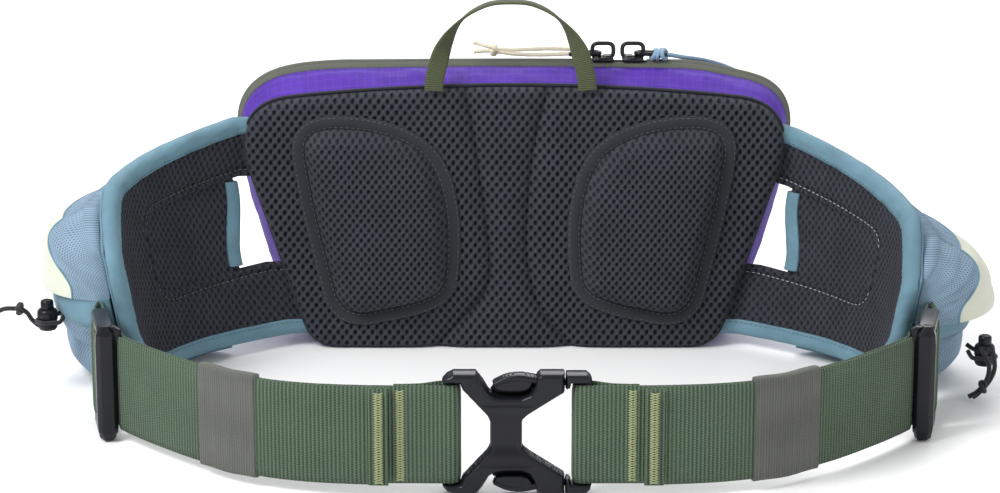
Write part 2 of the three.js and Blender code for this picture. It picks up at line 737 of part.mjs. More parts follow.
// Elastic loop that holds the tail against the strap.
function keeper(side) {
  const k = KEEPER;
  const middle = beltOffset((BELT.thickness + GAP) / 2);
  const inside = 2 * BELT.thickness + GAP + 2 * k.slack;
  const low = BELT.z - BELT.height / 2 - k.slack;
  const height = BELT.height + 2 * k.slack;
  const [from, to] = side < 0 ? k.leftX : k.rightX;
  const inRange = (margin) => middle.filter((p) => p.x > from - margin && p.x < to + margin);
  const around = stripShape(inRange(0), inside + 2 * k.thickness);
  const through = stripShape(inRange(12), inside);
  const sleeve = plateXY(around, low - k.thickness, height + 2 * k.thickness);
  const g = cut(sleeve, plateXY(through, low, height));
  add(`${sideName(side)}_keeper`, mirroredX(g, side), look.keeperElastic);
}

// ---------------------------------------------------------------- buckle
// An outline in the XZ plane given for its upper half and mirrored in the buckle's middle line.
function mirroredShape(upper) {
  const points = upper.map(([x, o]) => vec2(x, BUCKLE.z + o));
  const lower = [...upper].reverse().filter(([, o]) => o > 0).map(([x, o]) => vec2(x, BUCKLE.z - o));
  return new THREE.Shape([...points, ...lower]);
}

function buckleBar(x) {
  const b = BUCKLE;
  const g = new THREE.CylinderGeometry(b.barRadius, b.barRadius, 53, 14);
  g.rotateX(Math.PI / 2);
  g.translate(x, b.y, b.z);
  return g;
}

// The half that receives the prongs: a bar for the belt, a waist, and two open sleeves.
function buckleSocket() {
  const b = BUCKLE;
  const y0 = b.y - b.thickness / 2;
  const body = mirroredShape([
    [-12.9, 5.9], [-13.9, 8], [-26.6, 22.4], [-26.6, 25.6], [-36.4, 25.6], [-36.2, 27.4], [-33.8, 29.8],
    [-31, b.halfHeight], [-19.8, b.halfHeight], [-16.4, 27], [-13.2, 21.6], [-10.6, 19.8],
    [-6.5, 19], [2.4, 19], [6.4, 20.6], [8.6, 24.6], [9.6, 29.4], [11.4, b.halfHeight],
    [23.6, b.halfHeight], [23.6, 21.2], [4.1, 8.4], [2.9, 6.2],
  ]);
  const plate = plateXZ(body, y0, b.thickness, 1);
  const channel = (sign) => block(
    8, 30, b.y - b.channelHalf, b.y + b.channelHalf, b.z + sign * 22.9, b.z + sign * (b.halfHeight - 1),
  );
  const g = cut(join(plate, buckleBar(-b.barX)), channel(1), channel(-1));
  add('buckle_socket', g, look.plastic);
}

// The plug half: a bar for the belt between two corner blocks that carry the prongs.
function bucklePlug() {
  const b = BUCKLE;
  const lug = [
    [b.prongRootX - 0.4, 22.4], [b.prongRootX - 0.4, 30.6], [34.2, 30.6], [36.6, 28.4],
    [37.1, 25.6], [26.6, 25.6], [26.6, 23.4],
  ];
  const half = (sign) => {
    const shape = new THREE.Shape(lug.map(([x, o]) => vec2(x, b.z + sign * o)));
    return plateXZ(shape, b.y - 5.5, 11, 0.8);
  };
  add('buckle_plug', join(buckleBar(b.barX), half(1), half(-1)), look.plastic);
}

// A springy prong whose bulge stands in the socket's recess, where a finger presses it.
function buckleProng(name, sign) {
  const b = BUCKLE;
  const line = smoothPoints([[24.2, 25.6], [17, 25.8], [10, 27], [2, 28.1], [-5, 27.4], [-11.4, 24.8]], 12);
  const shape = stripShape(line.map((p) => vec2(p.x, b.z + sign * p.y)), 3);
  add(name, plateXZ(shape, b.y - 3, 6, 0.6), look.plastic);
}

// ---------------------------------------------------------------- free cords
// Doubled cord on the left pull, lying along the zipper towards its knot.
const CREAM_CORD = [
  [33.6, -20, 165.6], [27, -19.4, 165.4], [19, -18, 164.6], [10, -16, 163.8], [1, -14, 163.4],
  [-7, -12.6, 163.6], [-14, -12, 164.4], [-20, -12, 165.6], [-24, -12, 166.6],
];
// Cord on the right pull, running down behind the zipper.
const BLUE_CORD = [
  [84.4, -20, 165.6], [90, -19, 164.8], [97, -16, 163], [104, -11, 161.2], [112, -5, 158.6], [120, 0, 155.4],
  [127, 3, 152],
];
// Ends of the pocket hems' shock cord, from the cord lock to the knot.
const SHOCK_CORDS = {
  left: [
    [-261.4, -135, 42], [-264, -136, 45.4], [-267, -137, 47.6],
    [-272, -138, 48.4], [-277, -137, 47.6], [-281, -136, 45],
  ],
  right: [
    [255.4, -147.6, 20.6], [256, -148.2, 16.4], [255, -149, 12],
    [252.4, -149.6, 7.6], [249, -150.2, 4.4], [245, -151, 2.6],
  ],
};

function freeCords() {
  const points = (list) => list.map((p) => vec(...p));
  add('cream_pull_cord', cord(points(CREAM_CORD), 1.5, 14), look.creamCord);
  add('blue_pull_cord', cord(points(BLUE_CORD), 1.3, 12), look.blueCord);
  for (const name of ['left', 'right']) {
    add(`${name}_shock_cord`, cord(points(SHOCK_CORDS[name]), 1.3, 9), look.blackCord);
  }
}

backPanel();
backPads();
bagWalls();
bagFront();
mainZipper();
slidersAndPulls();
haulHandle();
buckleSocket();
bucklePlug();
buckleProng('buckle_prong_upper', 1);
buckleProng('buckle_prong_lower', -1);
for (const side of [-1, 1]) {
  wing(side);
  wingPocket(side);
  anchorWebbing(side);
  ladderLock(side);
  beltStrap(side);
  beltTail(side);
  keeper(side);
}
cordLock(-1, [-253.5, -133, 35]);
cordLock(1, [254.5, -140, 17]);
freeCords();

export default pack;
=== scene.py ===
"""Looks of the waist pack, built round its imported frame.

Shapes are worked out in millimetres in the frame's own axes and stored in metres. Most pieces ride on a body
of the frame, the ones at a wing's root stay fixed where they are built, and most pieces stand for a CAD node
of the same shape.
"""

import math

import bpy
import numpy as np
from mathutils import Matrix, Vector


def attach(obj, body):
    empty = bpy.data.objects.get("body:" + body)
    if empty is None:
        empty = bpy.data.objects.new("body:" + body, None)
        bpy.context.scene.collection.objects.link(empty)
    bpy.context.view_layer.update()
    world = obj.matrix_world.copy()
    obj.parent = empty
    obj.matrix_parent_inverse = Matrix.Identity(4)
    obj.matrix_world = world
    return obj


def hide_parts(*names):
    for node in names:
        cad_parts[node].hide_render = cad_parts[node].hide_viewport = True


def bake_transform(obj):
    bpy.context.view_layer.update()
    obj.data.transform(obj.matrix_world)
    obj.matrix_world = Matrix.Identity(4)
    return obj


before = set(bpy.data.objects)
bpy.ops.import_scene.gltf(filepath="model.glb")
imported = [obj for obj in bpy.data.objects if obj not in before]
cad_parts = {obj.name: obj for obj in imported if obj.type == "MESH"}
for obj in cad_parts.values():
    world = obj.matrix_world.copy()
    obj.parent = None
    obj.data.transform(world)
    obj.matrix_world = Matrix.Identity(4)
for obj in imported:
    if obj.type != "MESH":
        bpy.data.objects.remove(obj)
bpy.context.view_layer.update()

MM = 0.001
TURN = 2 * math.pi
SIDES = {"left": -1, "right": 1}

# ------------------------------------------------------------------ dimensions, mm
PANEL_HEIGHT = 151.5
PANEL_FACE = -50.0
RING_DEPTH = [-42.7, -32, -20, -8, 15, 32, 46]
RING_WIDE = [1.0, 1.012, 1.025, 1.025, 0.995, 0.965, 0.92]
RING_HIGH = [152.5, 157.5, 161, 159, 146, 122, 96]
RING_FLAT = [0, 0.6, 0.85, 0.8, 0.4, 0.1, 0]
ZIP_START, ZIP_END = 0.305, 0.695
FABRIC = 1.5
HOLE_PITCH = 4.9                 # spacer mesh: across, and from row to row
HOLE_ROW = 3.2
WING_LOW = 9.0
WINDOW = dict(end=0.55, low=0.33, high=0.74)
BELT_Z, BELT_HEIGHT, BELT_THICK = 31.0, 50.0, 1.8
RIB_PITCH = 2.05
LOCK_BAR = np.array([217.3, -188.6])
LOCK_PITCH, LOCK_HEIGHT = 15.0, 62.0
BUCKLE_Y, BUCKLE_Z = -301.0, 31.2


# ------------------------------------------------------------------ small maths
def mix(a, b, t):
    return a + (b - a) * t


def smooth(t):
    t = np.clip(t, 0, 1)
    return t * t * (3 - 2 * t)


def unit(v):
    return v / np.maximum(np.linalg.norm(v, axis=-1, keepdims=True), 1e-9)


def stack(*columns):
    return np.stack(np.broadcast_arrays(*columns), -1)


def bezier(control, t):
    """Points of a Bezier curve of any degree."""
    layer = np.asarray(control, float)[:, None] + np.zeros((1, len(t), 1))
    while len(layer) > 1:
        layer = mix(layer[:-1], layer[1:], t[None, :, None])
    return layer[0]


def bezier_path(start, *pieces, steps=24):
    """Points of a path whose pieces are straight (one point), quadratic (two) or cubic (three)."""
    points = [np.array([start], float)]
    t = np.linspace(0, 1, steps + 1)[1:]
    for piece in pieces:
        points.append(bezier([points[-1][-1], *piece], t))
    return np.concatenate(points)


def spline(points, steps=24):
    """A smooth line through the given points."""
    p = np.asarray(points, float)
    p = np.concatenate([p[:1], p, p[-1:]])
    t = np.linspace(0, 1, steps, endpoint=False)[:, None]
    spans = [
        b + (c - a) * t / 2 + (2 * a - 5 * b + 4 * c - d) * t**2 / 2 + (3 * b - a - 3 * c + d) * t**3 / 2
        for a, b, c, d in zip(p, p[1:], p[2:], p[3:])
    ]
    return np.concatenate([*spans, p[-1:]])


class Line:
    """A polyline read by its share of length."""

    def __init__(self, points):
        self.points = np.asarray(points, float)
        steps = np.linalg.norm(np.diff(self.points, axis=0), axis=1)
        self.reach = np.r_[0, np.cumsum(steps)]
        self.length = self.reach[-1]

    def point(self, share):
        at = np.clip(share, 0, 1) * self.length
        return stack(*(np.interp(at, self.reach, column) for column in self.points.T))

    def tangent(self, share, step=0.002):
        share = np.asarray(share, float)
        return unit(self.point(share + step) - self.point(share - step))


def edge_distance(flat, loops):
    """Distance of flat points inside closed outlines, negative outside, and the nearest outline points."""
    x, z = flat.T
    best = np.full(len(flat), 1e9)
    near = np.zeros_like(flat)
    inside = np.zeros(len(flat), bool)
    for loop in loops:
        for a, b in zip(loop, np.roll(loop, -1, 0)):
            d = b - a
            size = d @ d
            if size < 1e-9:
                continue
            t = np.clip(((x - a[0]) * d[0] + (z - a[1]) * d[1]) / size, 0, 1)
            foot_x, foot_z = a[0] + t * d[0], a[1] + t * d[1]
            away = (x - foot_x) ** 2 + (z - foot_z) ** 2
            closer = away < best
            best[closer] = away[closer]
            near[closer, 0] = foot_x[closer]
            near[closer, 1] = foot_z[closer]
            if a[1] != b[1]:
                spans = (a[1] > z) != (b[1] > z)
                inside ^= spans & (x < a[0] + (z - a[1]) * d[0] / d[1])
    return np.where(inside, 1, -1) * np.sqrt(best), near


def line_distance(flat, points):
    """Distance of flat points from an open line."""
    best = np.full(len(flat), 1e9)
    for a, b in zip(points[:-1], points[1:]):
        d = b - a
        t = np.clip((flat - a) @ d / (d @ d), 0, 1)
        best = np.minimum(best, np.linalg.norm(flat - a - t[:, None] * d, axis=1))
    return best


def wobble(x, z, scale, seed=0):
    """Soft, even unevenness between -1 and 1."""
    total = 0
    for i in range(5):
        angle = 2.4 * i + seed
        wave = scale * (0.7 + 0.21 * i)
        total = total + np.sin((x * np.cos(angle) + z * np.sin(angle)) * TURN / wave + 1.7 * i + seed)
    return total / 5


def pits(x, z, pitch=HOLE_PITCH, row=HOLE_ROW, wide=1.15, tall=1.7):
    """How far each point lies in the staggered oval holes of a mesh: 1 in a hole, 0 on the threads."""
    line = np.round(z / row)
    deepest = 0
    for step in (-1, 0, 1):
        offset = ((line + step) % 2) * pitch / 2
        dx = x - offset - pitch * np.round((x - offset) / pitch)
        dz = z - (line + step) * row
        deepest = np.maximum(deepest, 1 - smooth((np.hypot(dx / wide, dz / tall) - 0.55) / 0.6))
    return deepest


# ------------------------------------------------------------------ meshes
def inside_out(mesh):
    """Whether a closed mesh's faces look inwards, from the sign of its volume."""
    mesh.calc_loop_triangles()
    corners = np.empty(3 * len(mesh.loop_triangles), int)
    mesh.loop_triangles.foreach_get("vertices", corners)
    points = np.empty(3 * len(mesh.vertices))
    mesh.vertices.foreach_get("co", points)
    a, b, c = points.reshape(-1, 3)[corners.reshape(-1, 3)].transpose(1, 0, 2)
    return (a * np.cross(b, c)).sum() < 0


def make(name, points, faces, slot, body, uv=None, shade_mask=None, replaces=()):
    """One piece from points in mm, riding on a body, or fixed where it is built when body is not a name."""
    mesh = bpy.data.meshes.new(name)
    mesh.from_pydata((np.asarray(points, float) * MM).tolist(), [], faces)
    mesh.polygons.foreach_set("use_smooth", [True] * len(mesh.polygons))
    corners = np.empty(len(mesh.loops), int)
    mesh.loops.foreach_get("vertex_index", corners)
    if uv is not None:
        mesh.uv_layers.new(name="UVMap").data.foreach_set("uv", np.asarray(uv, float)[corners].ravel())
    # The point attribute marks where the mesh material paints shade: in holes and creases.
    if shade_mask is not None:
        mesh.attributes.new("shade_mask", "FLOAT", "POINT").data.foreach_set("value", np.asarray(shade_mask, np.float32))
    mesh.materials.append(MATERIALS[slot])
    if inside_out(mesh):
        mesh.flip_normals()
    piece = bpy.data.objects.new(name, mesh)
    bpy.context.scene.collection.objects.link(piece)
    if isinstance(body, str):
        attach(piece, body)
    else:
        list(body)
        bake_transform(piece)
    if replaces:
        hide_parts(*replaces)
    return piece


def grid_faces(nu, nv, offset=0, wrap=False):
    """Quads of a grid of nv + 1 rows of nu + 1 points, or of nu points in a ring."""
    row = nu if wrap else nu + 1
    u, v = np.meshgrid(np.arange(nu), np.arange(nv))
    after = (u + 1) % row
    quads = np.stack([v * row + u, v * row + after, (v + 1) * row + after, (v + 1) * row + u], -1)
    return (quads.reshape(-1, 4) + offset).tolist()


def skin_faces(count, around, closed=False):
    """Faces of a skin through count rings of points, joined end to end or capped."""
    faces = grid_faces(around, count - 1, wrap=True)
    last = (count - 1) * around
    if closed:
        return faces + [[last + i, last + (i + 1) % around, (i + 1) % around, i] for i in range(around)]
    return faces + [list(range(around))[::-1], list(range(last, last + around))]


def slab(name, place, nu, nv, size, slot, body, shade_mask=None, replaces=()):
    """A closed sheet: place(u, v, w) gives its face at w 0 and its back at w 1, size its spread in mm."""
    u, v = (a.ravel() for a in np.meshgrid(np.linspace(0, 1, nu + 1), np.linspace(0, 1, nv + 1)))
    points = np.concatenate([place(u, v, 0.0), place(u, v, 1.0)])
    half = len(u)
    front = grid_faces(nu, nv)
    back = [face[::-1] for face in grid_faces(nu, nv, half)]
    index = np.arange(half).reshape(nv + 1, nu + 1)
    rim = np.concatenate([index[0], index[1:, -1], index[-1, -2::-1], index[-2:0:-1, 0]])
    rim_faces = [[int(b), int(a), int(a) + half, int(b) + half] for a, b in zip(rim, np.roll(rim, -1))]
    uv = np.tile(np.c_[u * size[0], v * size[1]], (2, 1))
    shade_mask = None if shade_mask is None else np.tile(shade_mask(u, v), 2)
    return make(name, points, front + back + rim_faces, slot, body, uv, shade_mask, replaces)


def relief(name, loops, step, place, face, back, slot, body, shade_mask=None, replaces=()):
    """A closed sheet cut to flat outlines.

    face and back are its two heights: numbers, or functions of flat points and their distances from the edge.
    """
    low, high = loops[0].min(0), loops[0].max(0)
    nx, nz = np.ceil((high - low) / step).astype(int) + 1
    x, z = np.meshgrid(np.linspace(low[0], high[0], nx), np.linspace(low[1], high[1], nz))
    flat = np.c_[x.ravel(), z.ravel()]
    inside, near = edge_distance(flat, loops)
    snapped = np.abs(inside) < 0.62 * step
    flat[snapped] = near[snapped]
    inside[snapped] = 0
    kept = inside >= 0
    index = np.arange(nx * nz).reshape(nz, nx)
    quads = np.stack([index[:-1, :-1], index[:-1, 1:], index[1:, 1:], index[1:, :-1]], -1).reshape(-1, 4)
    corners = kept[quads].sum(1)
    faces = quads[corners == 4].tolist() + [[c for c in q if kept[c]] for q in quads[corners == 3].tolist()]
    used = np.unique(np.concatenate([np.array(f) for f in faces]))
    renumber = np.zeros(len(flat), int)
    renumber[used] = np.arange(len(used))
    faces = [[int(renumber[c]) for c in f] for f in faces]
    flat, inside = flat[used], inside[used]
    edges = {}
    for f in faces:
        for a, b in zip(f, f[1:] + f[:1]):
            edges[(a, b)] = edges.get((a, b), 0) + 1
    half = len(flat)
    rim = [[b, a, a + half, b + half] for a, b in edges if (b, a) not in edges]
    heights = (h(flat, inside) if callable(h) else np.full(half, h) for h in (face, back))
    points = np.concatenate([place(flat, h) for h in heights])
    backs = [[c + half for c in f[::-1]] for f in faces]
    uv = np.tile(flat, (2, 1))
    shade_mask = None if shade_mask is None else np.tile(shade_mask(flat), 2)
    return make(name, points, faces + backs + rim, slot, body, uv, shade_mask, replaces)


def frames(points, up=(0, 0, 1)):
    """Tangent and two cross directions along a space line, turning as little as they can."""
    tangent = unit(np.gradient(points, axis=0))
    side = unit(np.cross(tangent, np.array(up, float) + 1e-4))
    for i in range(1, len(side)):
        turned = side[i - 1] - tangent[i] * (side[i - 1] @ tangent[i])
        side[i] = turned / max(np.linalg.norm(turned), 1e-9)
    return tangent, side, np.cross(side, tangent)


def tube_points(line, radius, around, surface=None):
    """Rings of points round a line, which surface(share of turn, length) lifts by a part of the radius."""
    _, side, top = frames(line)
    reach = np.r_[0, np.cumsum(np.linalg.norm(np.diff(line, axis=0), axis=1))]
    turn = np.arange(around) / around
    along, turns = np.meshgrid(reach, turn, indexing="ij")
    lift = radius * (1 + (surface(turns, along) if surface else 0 * turns))
    ring = np.cos(turns * TURN)[..., None] * side[:, None] + np.sin(turns * TURN)[..., None] * top[:, None]
    points = line[:, None] + ring * lift[..., None]
    return points.reshape(-1, 3), np.c_[turns.ravel() * TURN * radius, along.ravel()]


def tube(name, line, radius, slot, body, around=16, surface=None, replaces=(), closed=False):
    points, uv = tube_points(line, radius, around, surface)
    return make(name, points, skin_faces(len(line), around, closed), slot, body, uv, replaces=replaces)


def wire_part(line, radius):
    """Points and faces of a loop of round wire along a line that ends where it starts."""
    return tube_points(line, radius, 12)[0], grid_faces(12, len(line) - 1, wrap=True)


def many(name, parts, slot, body, replaces=()):
    """One piece from many small closed shapes, each given as (points, faces)."""
    points, faces, count = [], [], 0
    for part_points, part_faces in parts:
        points.append(part_points)
        faces += [[c + count for c in f] for f in part_faces]
        count += len(part_points)
    return make(name, np.concatenate(points), faces, slot, body, replaces=replaces)


def stitch(a, b, out, width, height):
    """One stitch from a to b: a small rounded bar standing out of the cloth."""
    along = unit(b - a)
    side = np.cross(out, along)
    rings = []
    for share, size in ((0, 0.35), (0.22, 1), (0.78, 1), (1, 0.35)):
        at = mix(a, b, share)
        rings += [at + side * width / 2 * size, at + out * height * size, at - side * width / 2 * size]
    return np.array(rings), skin_faces(4, 3)


def stitches(name, line, out, slot, body, sizes):
    """A row of stitches along a line of points, with the cloth's outward direction at each.

    sizes are a stitch's length, the gap after it, its width and its height.
    """
    length, gap, width, height = sizes
    path, normals = Line(line), np.asarray(out, float)
    count = int(path.length / (length + gap))
    shares = path.reach / path.length
    parts = []
    for i in range(count):
        s0 = i * (length + gap) / path.length
        s1 = s0 + length / path.length
        normal = unit(np.array([np.interp((s0 + s1) / 2, shares, c) for c in normals.T]))
        parts.append(stitch(path.point(s0), path.point(s1), normal, width, height))
    return many(name, parts, slot, body)


def box_part(center, size, turn=0.0, bevel=0.4):
    """Points and faces of a box with bevelled edges, turned about Z."""
    half = np.array(size, float) / 2
    cos, sin = math.cos(turn), math.sin(turn)
    corners = ((-1, -1, 1), (-1, -1, 0), (1, -1, 0), (1, -1, 1), (1, 1, 1), (1, 1, 0), (-1, 1, 0), (-1, 1, 1))
    points = []
    for z, shrink in ((-1, 1), (-1, 0), (1, 0), (1, 1)):
        inset = bevel * shrink
        level = z * (half[2] - (0 if shrink else bevel))
        for sx, sy, cut_x in corners:
            x = sx * (half[0] - inset - (0 if cut_x else bevel))
            y = sy * (half[1] - inset - (bevel if cut_x else 0))
            points.append((x * cos - y * sin, x * sin + y * cos, level))
    return np.array(points) + np.array(center, float), skin_faces(4, 8)


def lathe_part(profile, at, around=24):
    """A shape turned about +Z from (radius, height) pairs that start and end on the axis."""
    turn = np.arange(around) / around * TURN
    rings = [np.c_[r * np.cos(turn), r * np.sin(turn), np.full(around, h)] for r, h in profile[1:-1]]
    points = np.concatenate([*rings, [[0, 0, profile[0][1]]], [[0, 0, profile[-1][1]]]])
    faces = grid_faces(around, len(rings) - 1, wrap=True)
    first, last = len(points) - 2, len(points) - 1
    top = (len(rings) - 1) * around
    faces += [[first, (i + 1) % around, i] for i in range(around)]
    faces += [[last, top + i, top + (i + 1) % around] for i in range(around)]
    return points + np.array(at, float), faces


# ------------------------------------------------------------------ materials
class Shader:
    """A material built from a few named nodes, with lengths read in mm from the UV map."""

    def __init__(self, name, roughness, sheen=0.0, coat=0.0, specular=0.22):
        self.material = bpy.data.materials.new(name)
        self.material.use_nodes = True
        self.tree = self.material.node_tree
        self.bsdf = self.tree.nodes["Principled BSDF"]
        values = {"Roughness": roughness, "Sheen Weight": sheen, "Sheen Roughness": 0.6, "Coat Weight": coat,
                  "Coat Roughness": 0.2, "Specular IOR Level": specular}
        for socket, value in values.items():
            self.bsdf.inputs[socket].default_value = value

    def node(self, kind, sockets, **settings):
        node = self.tree.nodes.new("ShaderNode" + kind)
        for key, value in settings.items():
            setattr(node, key, value)
        for key, value in sockets.items():
            if isinstance(value, bpy.types.NodeSocket):
                self.tree.links.new(value, node.inputs[key])
            else:
                node.inputs[key].default_value = value
        return node

    def maths(self, operation, a, b=0.0):
        return self.node("Math", {0: a, 1: b}, operation=operation).outputs[0]

    def times(self, a, b):
        return self.maths("MULTIPLY", a, b)

    def plus(self, a, b):
        return self.maths("ADD", a, b)

    def axes(self):
        """The two UV coordinates, in mm."""
        uv = self.node("UVMap", {}).outputs["UV"]
        parts = self.node("SeparateXYZ", {0: uv}).outputs
        return uv, parts[0], parts[1]

    def wave(self, coordinate, pitch):
        return self.maths("SINE", self.times(coordinate, TURN / pitch))

    def noise(self, vector, scale, detail=3.0):
        return self.node("TexNoise", {"Vector": vector, "Scale": scale, "Detail": detail}).outputs["Fac"]

    def mottle(self, vector, scale, low, high):
        """A slow unevenness between two brightness factors."""
        noise = self.noise(vector, scale)
        sockets = {"Value": noise, "From Min": 0.3, "From Max": 0.7, "To Min": low, "To Max": high}
        return self.node("MapRange", sockets).outputs[0]

    def tone(self, uv, scale, uneven, pattern, share):
        """A brightness that wanders by uneven either way and rises by a share of a pattern."""
        return self.plus(self.mottle(uv, scale, 1 - uneven, 1 + uneven), self.times(pattern, share))

    def blend(self, factor, a, b):
        """A colour from a to b as factor goes from 0 to 1."""
        ramp = self.node("ValToRGB", {"Fac": factor})
        ramp.color_ramp.elements[0].color = (*a, 1)
        ramp.color_ramp.elements[1].color = (*b, 1)
        return ramp.outputs["Color"]

    def finish(self, color, tone, height, strength, distance=0.0004):
        """The colour, three numbers or a socket, is multiplied by tone, and height stands out of it."""
        if isinstance(color, tuple):
            plain = self.node("RGB", {}).outputs[0]
            plain.default_value = (*color, 1)
            color = plain
        shaded = self.node("VectorMath", {0: color, "Scale": tone}, operation="SCALE").outputs["Vector"]
        bump = self.node("Bump", {"Height": height, "Strength": strength, "Distance": distance})
        self.tree.links.new(bump.outputs["Normal"], self.bsdf.inputs["Normal"])
        self.tree.links.new(shaded, self.bsdf.inputs["Base Color"])
        return self.material


def spacer_mesh(name, thread, hole_shade_color, unevenness=0.12):
    """Knitted mesh: threads run both ways round holes, and a point attribute blends in a painted shade colour
    in the holes and creases.
    """
    s = Shader(name, 0.85, sheen=0.04)
    uv, u, v = s.axes()
    slant = s.times(u, 0.8)
    knit = s.maths("MAXIMUM", s.wave(s.plus(slant, v), 0.62), s.wave(s.maths("SUBTRACT", slant, v), 0.62))
    shade_mask = s.node("Attribute", {}, attribute_name="shade_mask").outputs["Fac"]
    color = s.blend(s.maths("POWER", shade_mask, 0.7), thread, hole_shade_color)
    return s.finish(color, s.tone(uv, 0.05, unevenness, knit, 0.16), knit, 0.5)


def woven(name, color, roughness=0.65, sheen=0.04, grid=None, uneven=0.1, bump=0.25):
    """Plain woven cloth, with the raised squares of a ripstop where grid is their size."""
    s = Shader(name, roughness, sheen=sheen)
    uv, u, v = s.axes()
    weave = s.times(s.wave(u, THREAD), s.wave(v, THREAD))
    tone = s.tone(uv, 0.06, uneven, weave, 0.07)
    height = s.times(weave, 0.3)
    if grid:
        lines = [s.maths("POWER", s.maths("ABSOLUTE", s.wave(c, 2 * grid)), 60.0) for c in (u, v)]
        raised = s.maths("MAXIMUM", *lines)
        tone = s.plus(tone, s.times(raised, 0.3))
        height = s.plus(height, s.times(raised, 0.6))
    return s.finish(color, tone, height, bump)


def webbing(name, color, rib, dash, depth=0.35):
    """Webbing: ribs across it, one every rib mm of its length u, each broken into dashes along v."""
    s = Shader(name, 0.7, sheen=0.05)
    uv, u, v = s.axes()
    dashes = s.wave(s.plus(v, s.times(s.wave(u, rib * 2), dash * 0.3)), dash)
    height = s.plus(s.wave(u, rib), s.times(dashes, 0.6))
    return s.finish(color, s.tone(uv, 0.03, 0.08, height, depth * 0.5), height, 0.5)


def herringbone(name, color, width=2.6, pitch=0.9):
    s = Shader(name, 0.8, sheen=0.1)
    uv, u, v = s.axes()
    twill = s.wave(s.plus(u, s.maths("PINGPONG", v, width)), pitch)
    return s.finish(color, s.tone(uv, 0.05, 0.08, twill, 0.3), twill, 0.4)


def plastic(name, color, roughness, coat=0.0):
    """Moulded or painted surface with a fine grain and faint handling marks."""
    s = Shader(name, roughness, coat=coat, specular=0.27)
    where = s.node("TexCoord", {}).outputs["Object"]
    worn = {"Value": s.noise(where, 45.0), "To Min": roughness - 0.07, "To Max": roughness + 0.09}
    s.tree.links.new(s.node("MapRange", worn).outputs[0], s.bsdf.inputs["Roughness"])
    return s.finish(color, s.mottle(where, 60.0, 0.82, 1.2), s.noise(where, 900.0, 2.0), 0.12, 0.0001)


def braid(name, color, pitch=1.5, contrast=0.22):
    """Braided cord: two families of slanted strands."""
    s = Shader(name, 0.75, sheen=0.2)
    uv, u, v = s.axes()
    strands = s.times(s.wave(s.plus(u, v), pitch), s.wave(s.maths("SUBTRACT", u, v), pitch))
    return s.finish(color, s.tone(uv, 0.2, 0.07, strands, contrast), strands, 0.5)


THREAD = 0.4                     # mm, the pitch of a plain weave
MATERIALS = {}


def look(maker, name, *colors_and_sizes, **more):
    MATERIALS[name] = maker(name, *colors_and_sizes, **more)


# Painted shade: the dark colour painted into the meshes' holes, for the shade inside them.
HOLE_SHADE_COLOR = (0.008, 0.009, 0.014)
look(spacer_mesh, "spacer_mesh", (0.042, 0.045, 0.058), HOLE_SHADE_COLOR)
look(spacer_mesh, "wing_mesh", (0.038, 0.040, 0.052), HOLE_SHADE_COLOR, 0.16)
# The pocket mesh's second colour is painted shade in its holes.
look(spacer_mesh, "pocket_mesh", (0.25, 0.355, 0.46), (0.085, 0.14, 0.20))
look(herringbone, "border_tape", (0.021, 0.023, 0.030), 3.8, 1.15)
look(herringbone, "zip_tape", (0.098, 0.106, 0.084))
look(plastic, "frame_plastic", (0.05, 0.05, 0.055), 0.5)
look(plastic, "pull_metal", (0.008, 0.008, 0.010), 0.28, coat=0.15)
look(plastic, "plastic", (0.0060, 0.0064, 0.0095), 0.3)
look(woven, "ripstop", (0.078, 0.026, 0.32), 0.6, sheen=0.0, grid=4.6, uneven=0.14, bump=0.45)
look(woven, "wing_fabric", (0.128, 0.24, 0.305), uneven=0.13)
look(woven, "cream_fabric", (0.60, 0.62, 0.52), 0.6, uneven=0.05)
look(webbing, "handle_webbing", (0.072, 0.086, 0.042), 1.2, 0.9, 0.6)
look(webbing, "belt_webbing", (0.064, 0.099, 0.063), RIB_PITCH, 1.3, 0.85)
look(webbing, "keeper_elastic", (0.110, 0.114, 0.104), 1.5, 0.9, 0.3)
look(braid, "cream_cord", (0.80, 0.74, 0.58))
look(braid, "blue_cord", (0.20, 0.32, 0.44))
look(braid, "black_cord", (0.010, 0.010, 0.012), contrast=0.35)
for thread_name, thread_color in (("grey", (0.10, 0.105, 0.12)), ("pale", (0.42, 0.44, 0.46)),
                                  ("blue", (0.05, 0.11, 0.16)),
                                  ("purple", (0.04, 0.015, 0.17)), ("zigzag", (0.36, 0.40, 0.20))):
    look(braid, f"{thread_name}_thread", thread_color, 0.6)


# ------------------------------------------------------------------ camera, light and floor
def area_light(name, at, target, size, power):
    light = bpy.data.lights.new(name, "AREA")
    light.size = size
    light.energy = power
    lamp = bpy.data.objects.new(name, light)
    bpy.context.scene.collection.objects.link(lamp)
    lamp.location = at
    aim = Vector(target) - Vector(at)
    lamp.rotation_euler = aim.to_track_quat("-Z", "Y").to_euler()


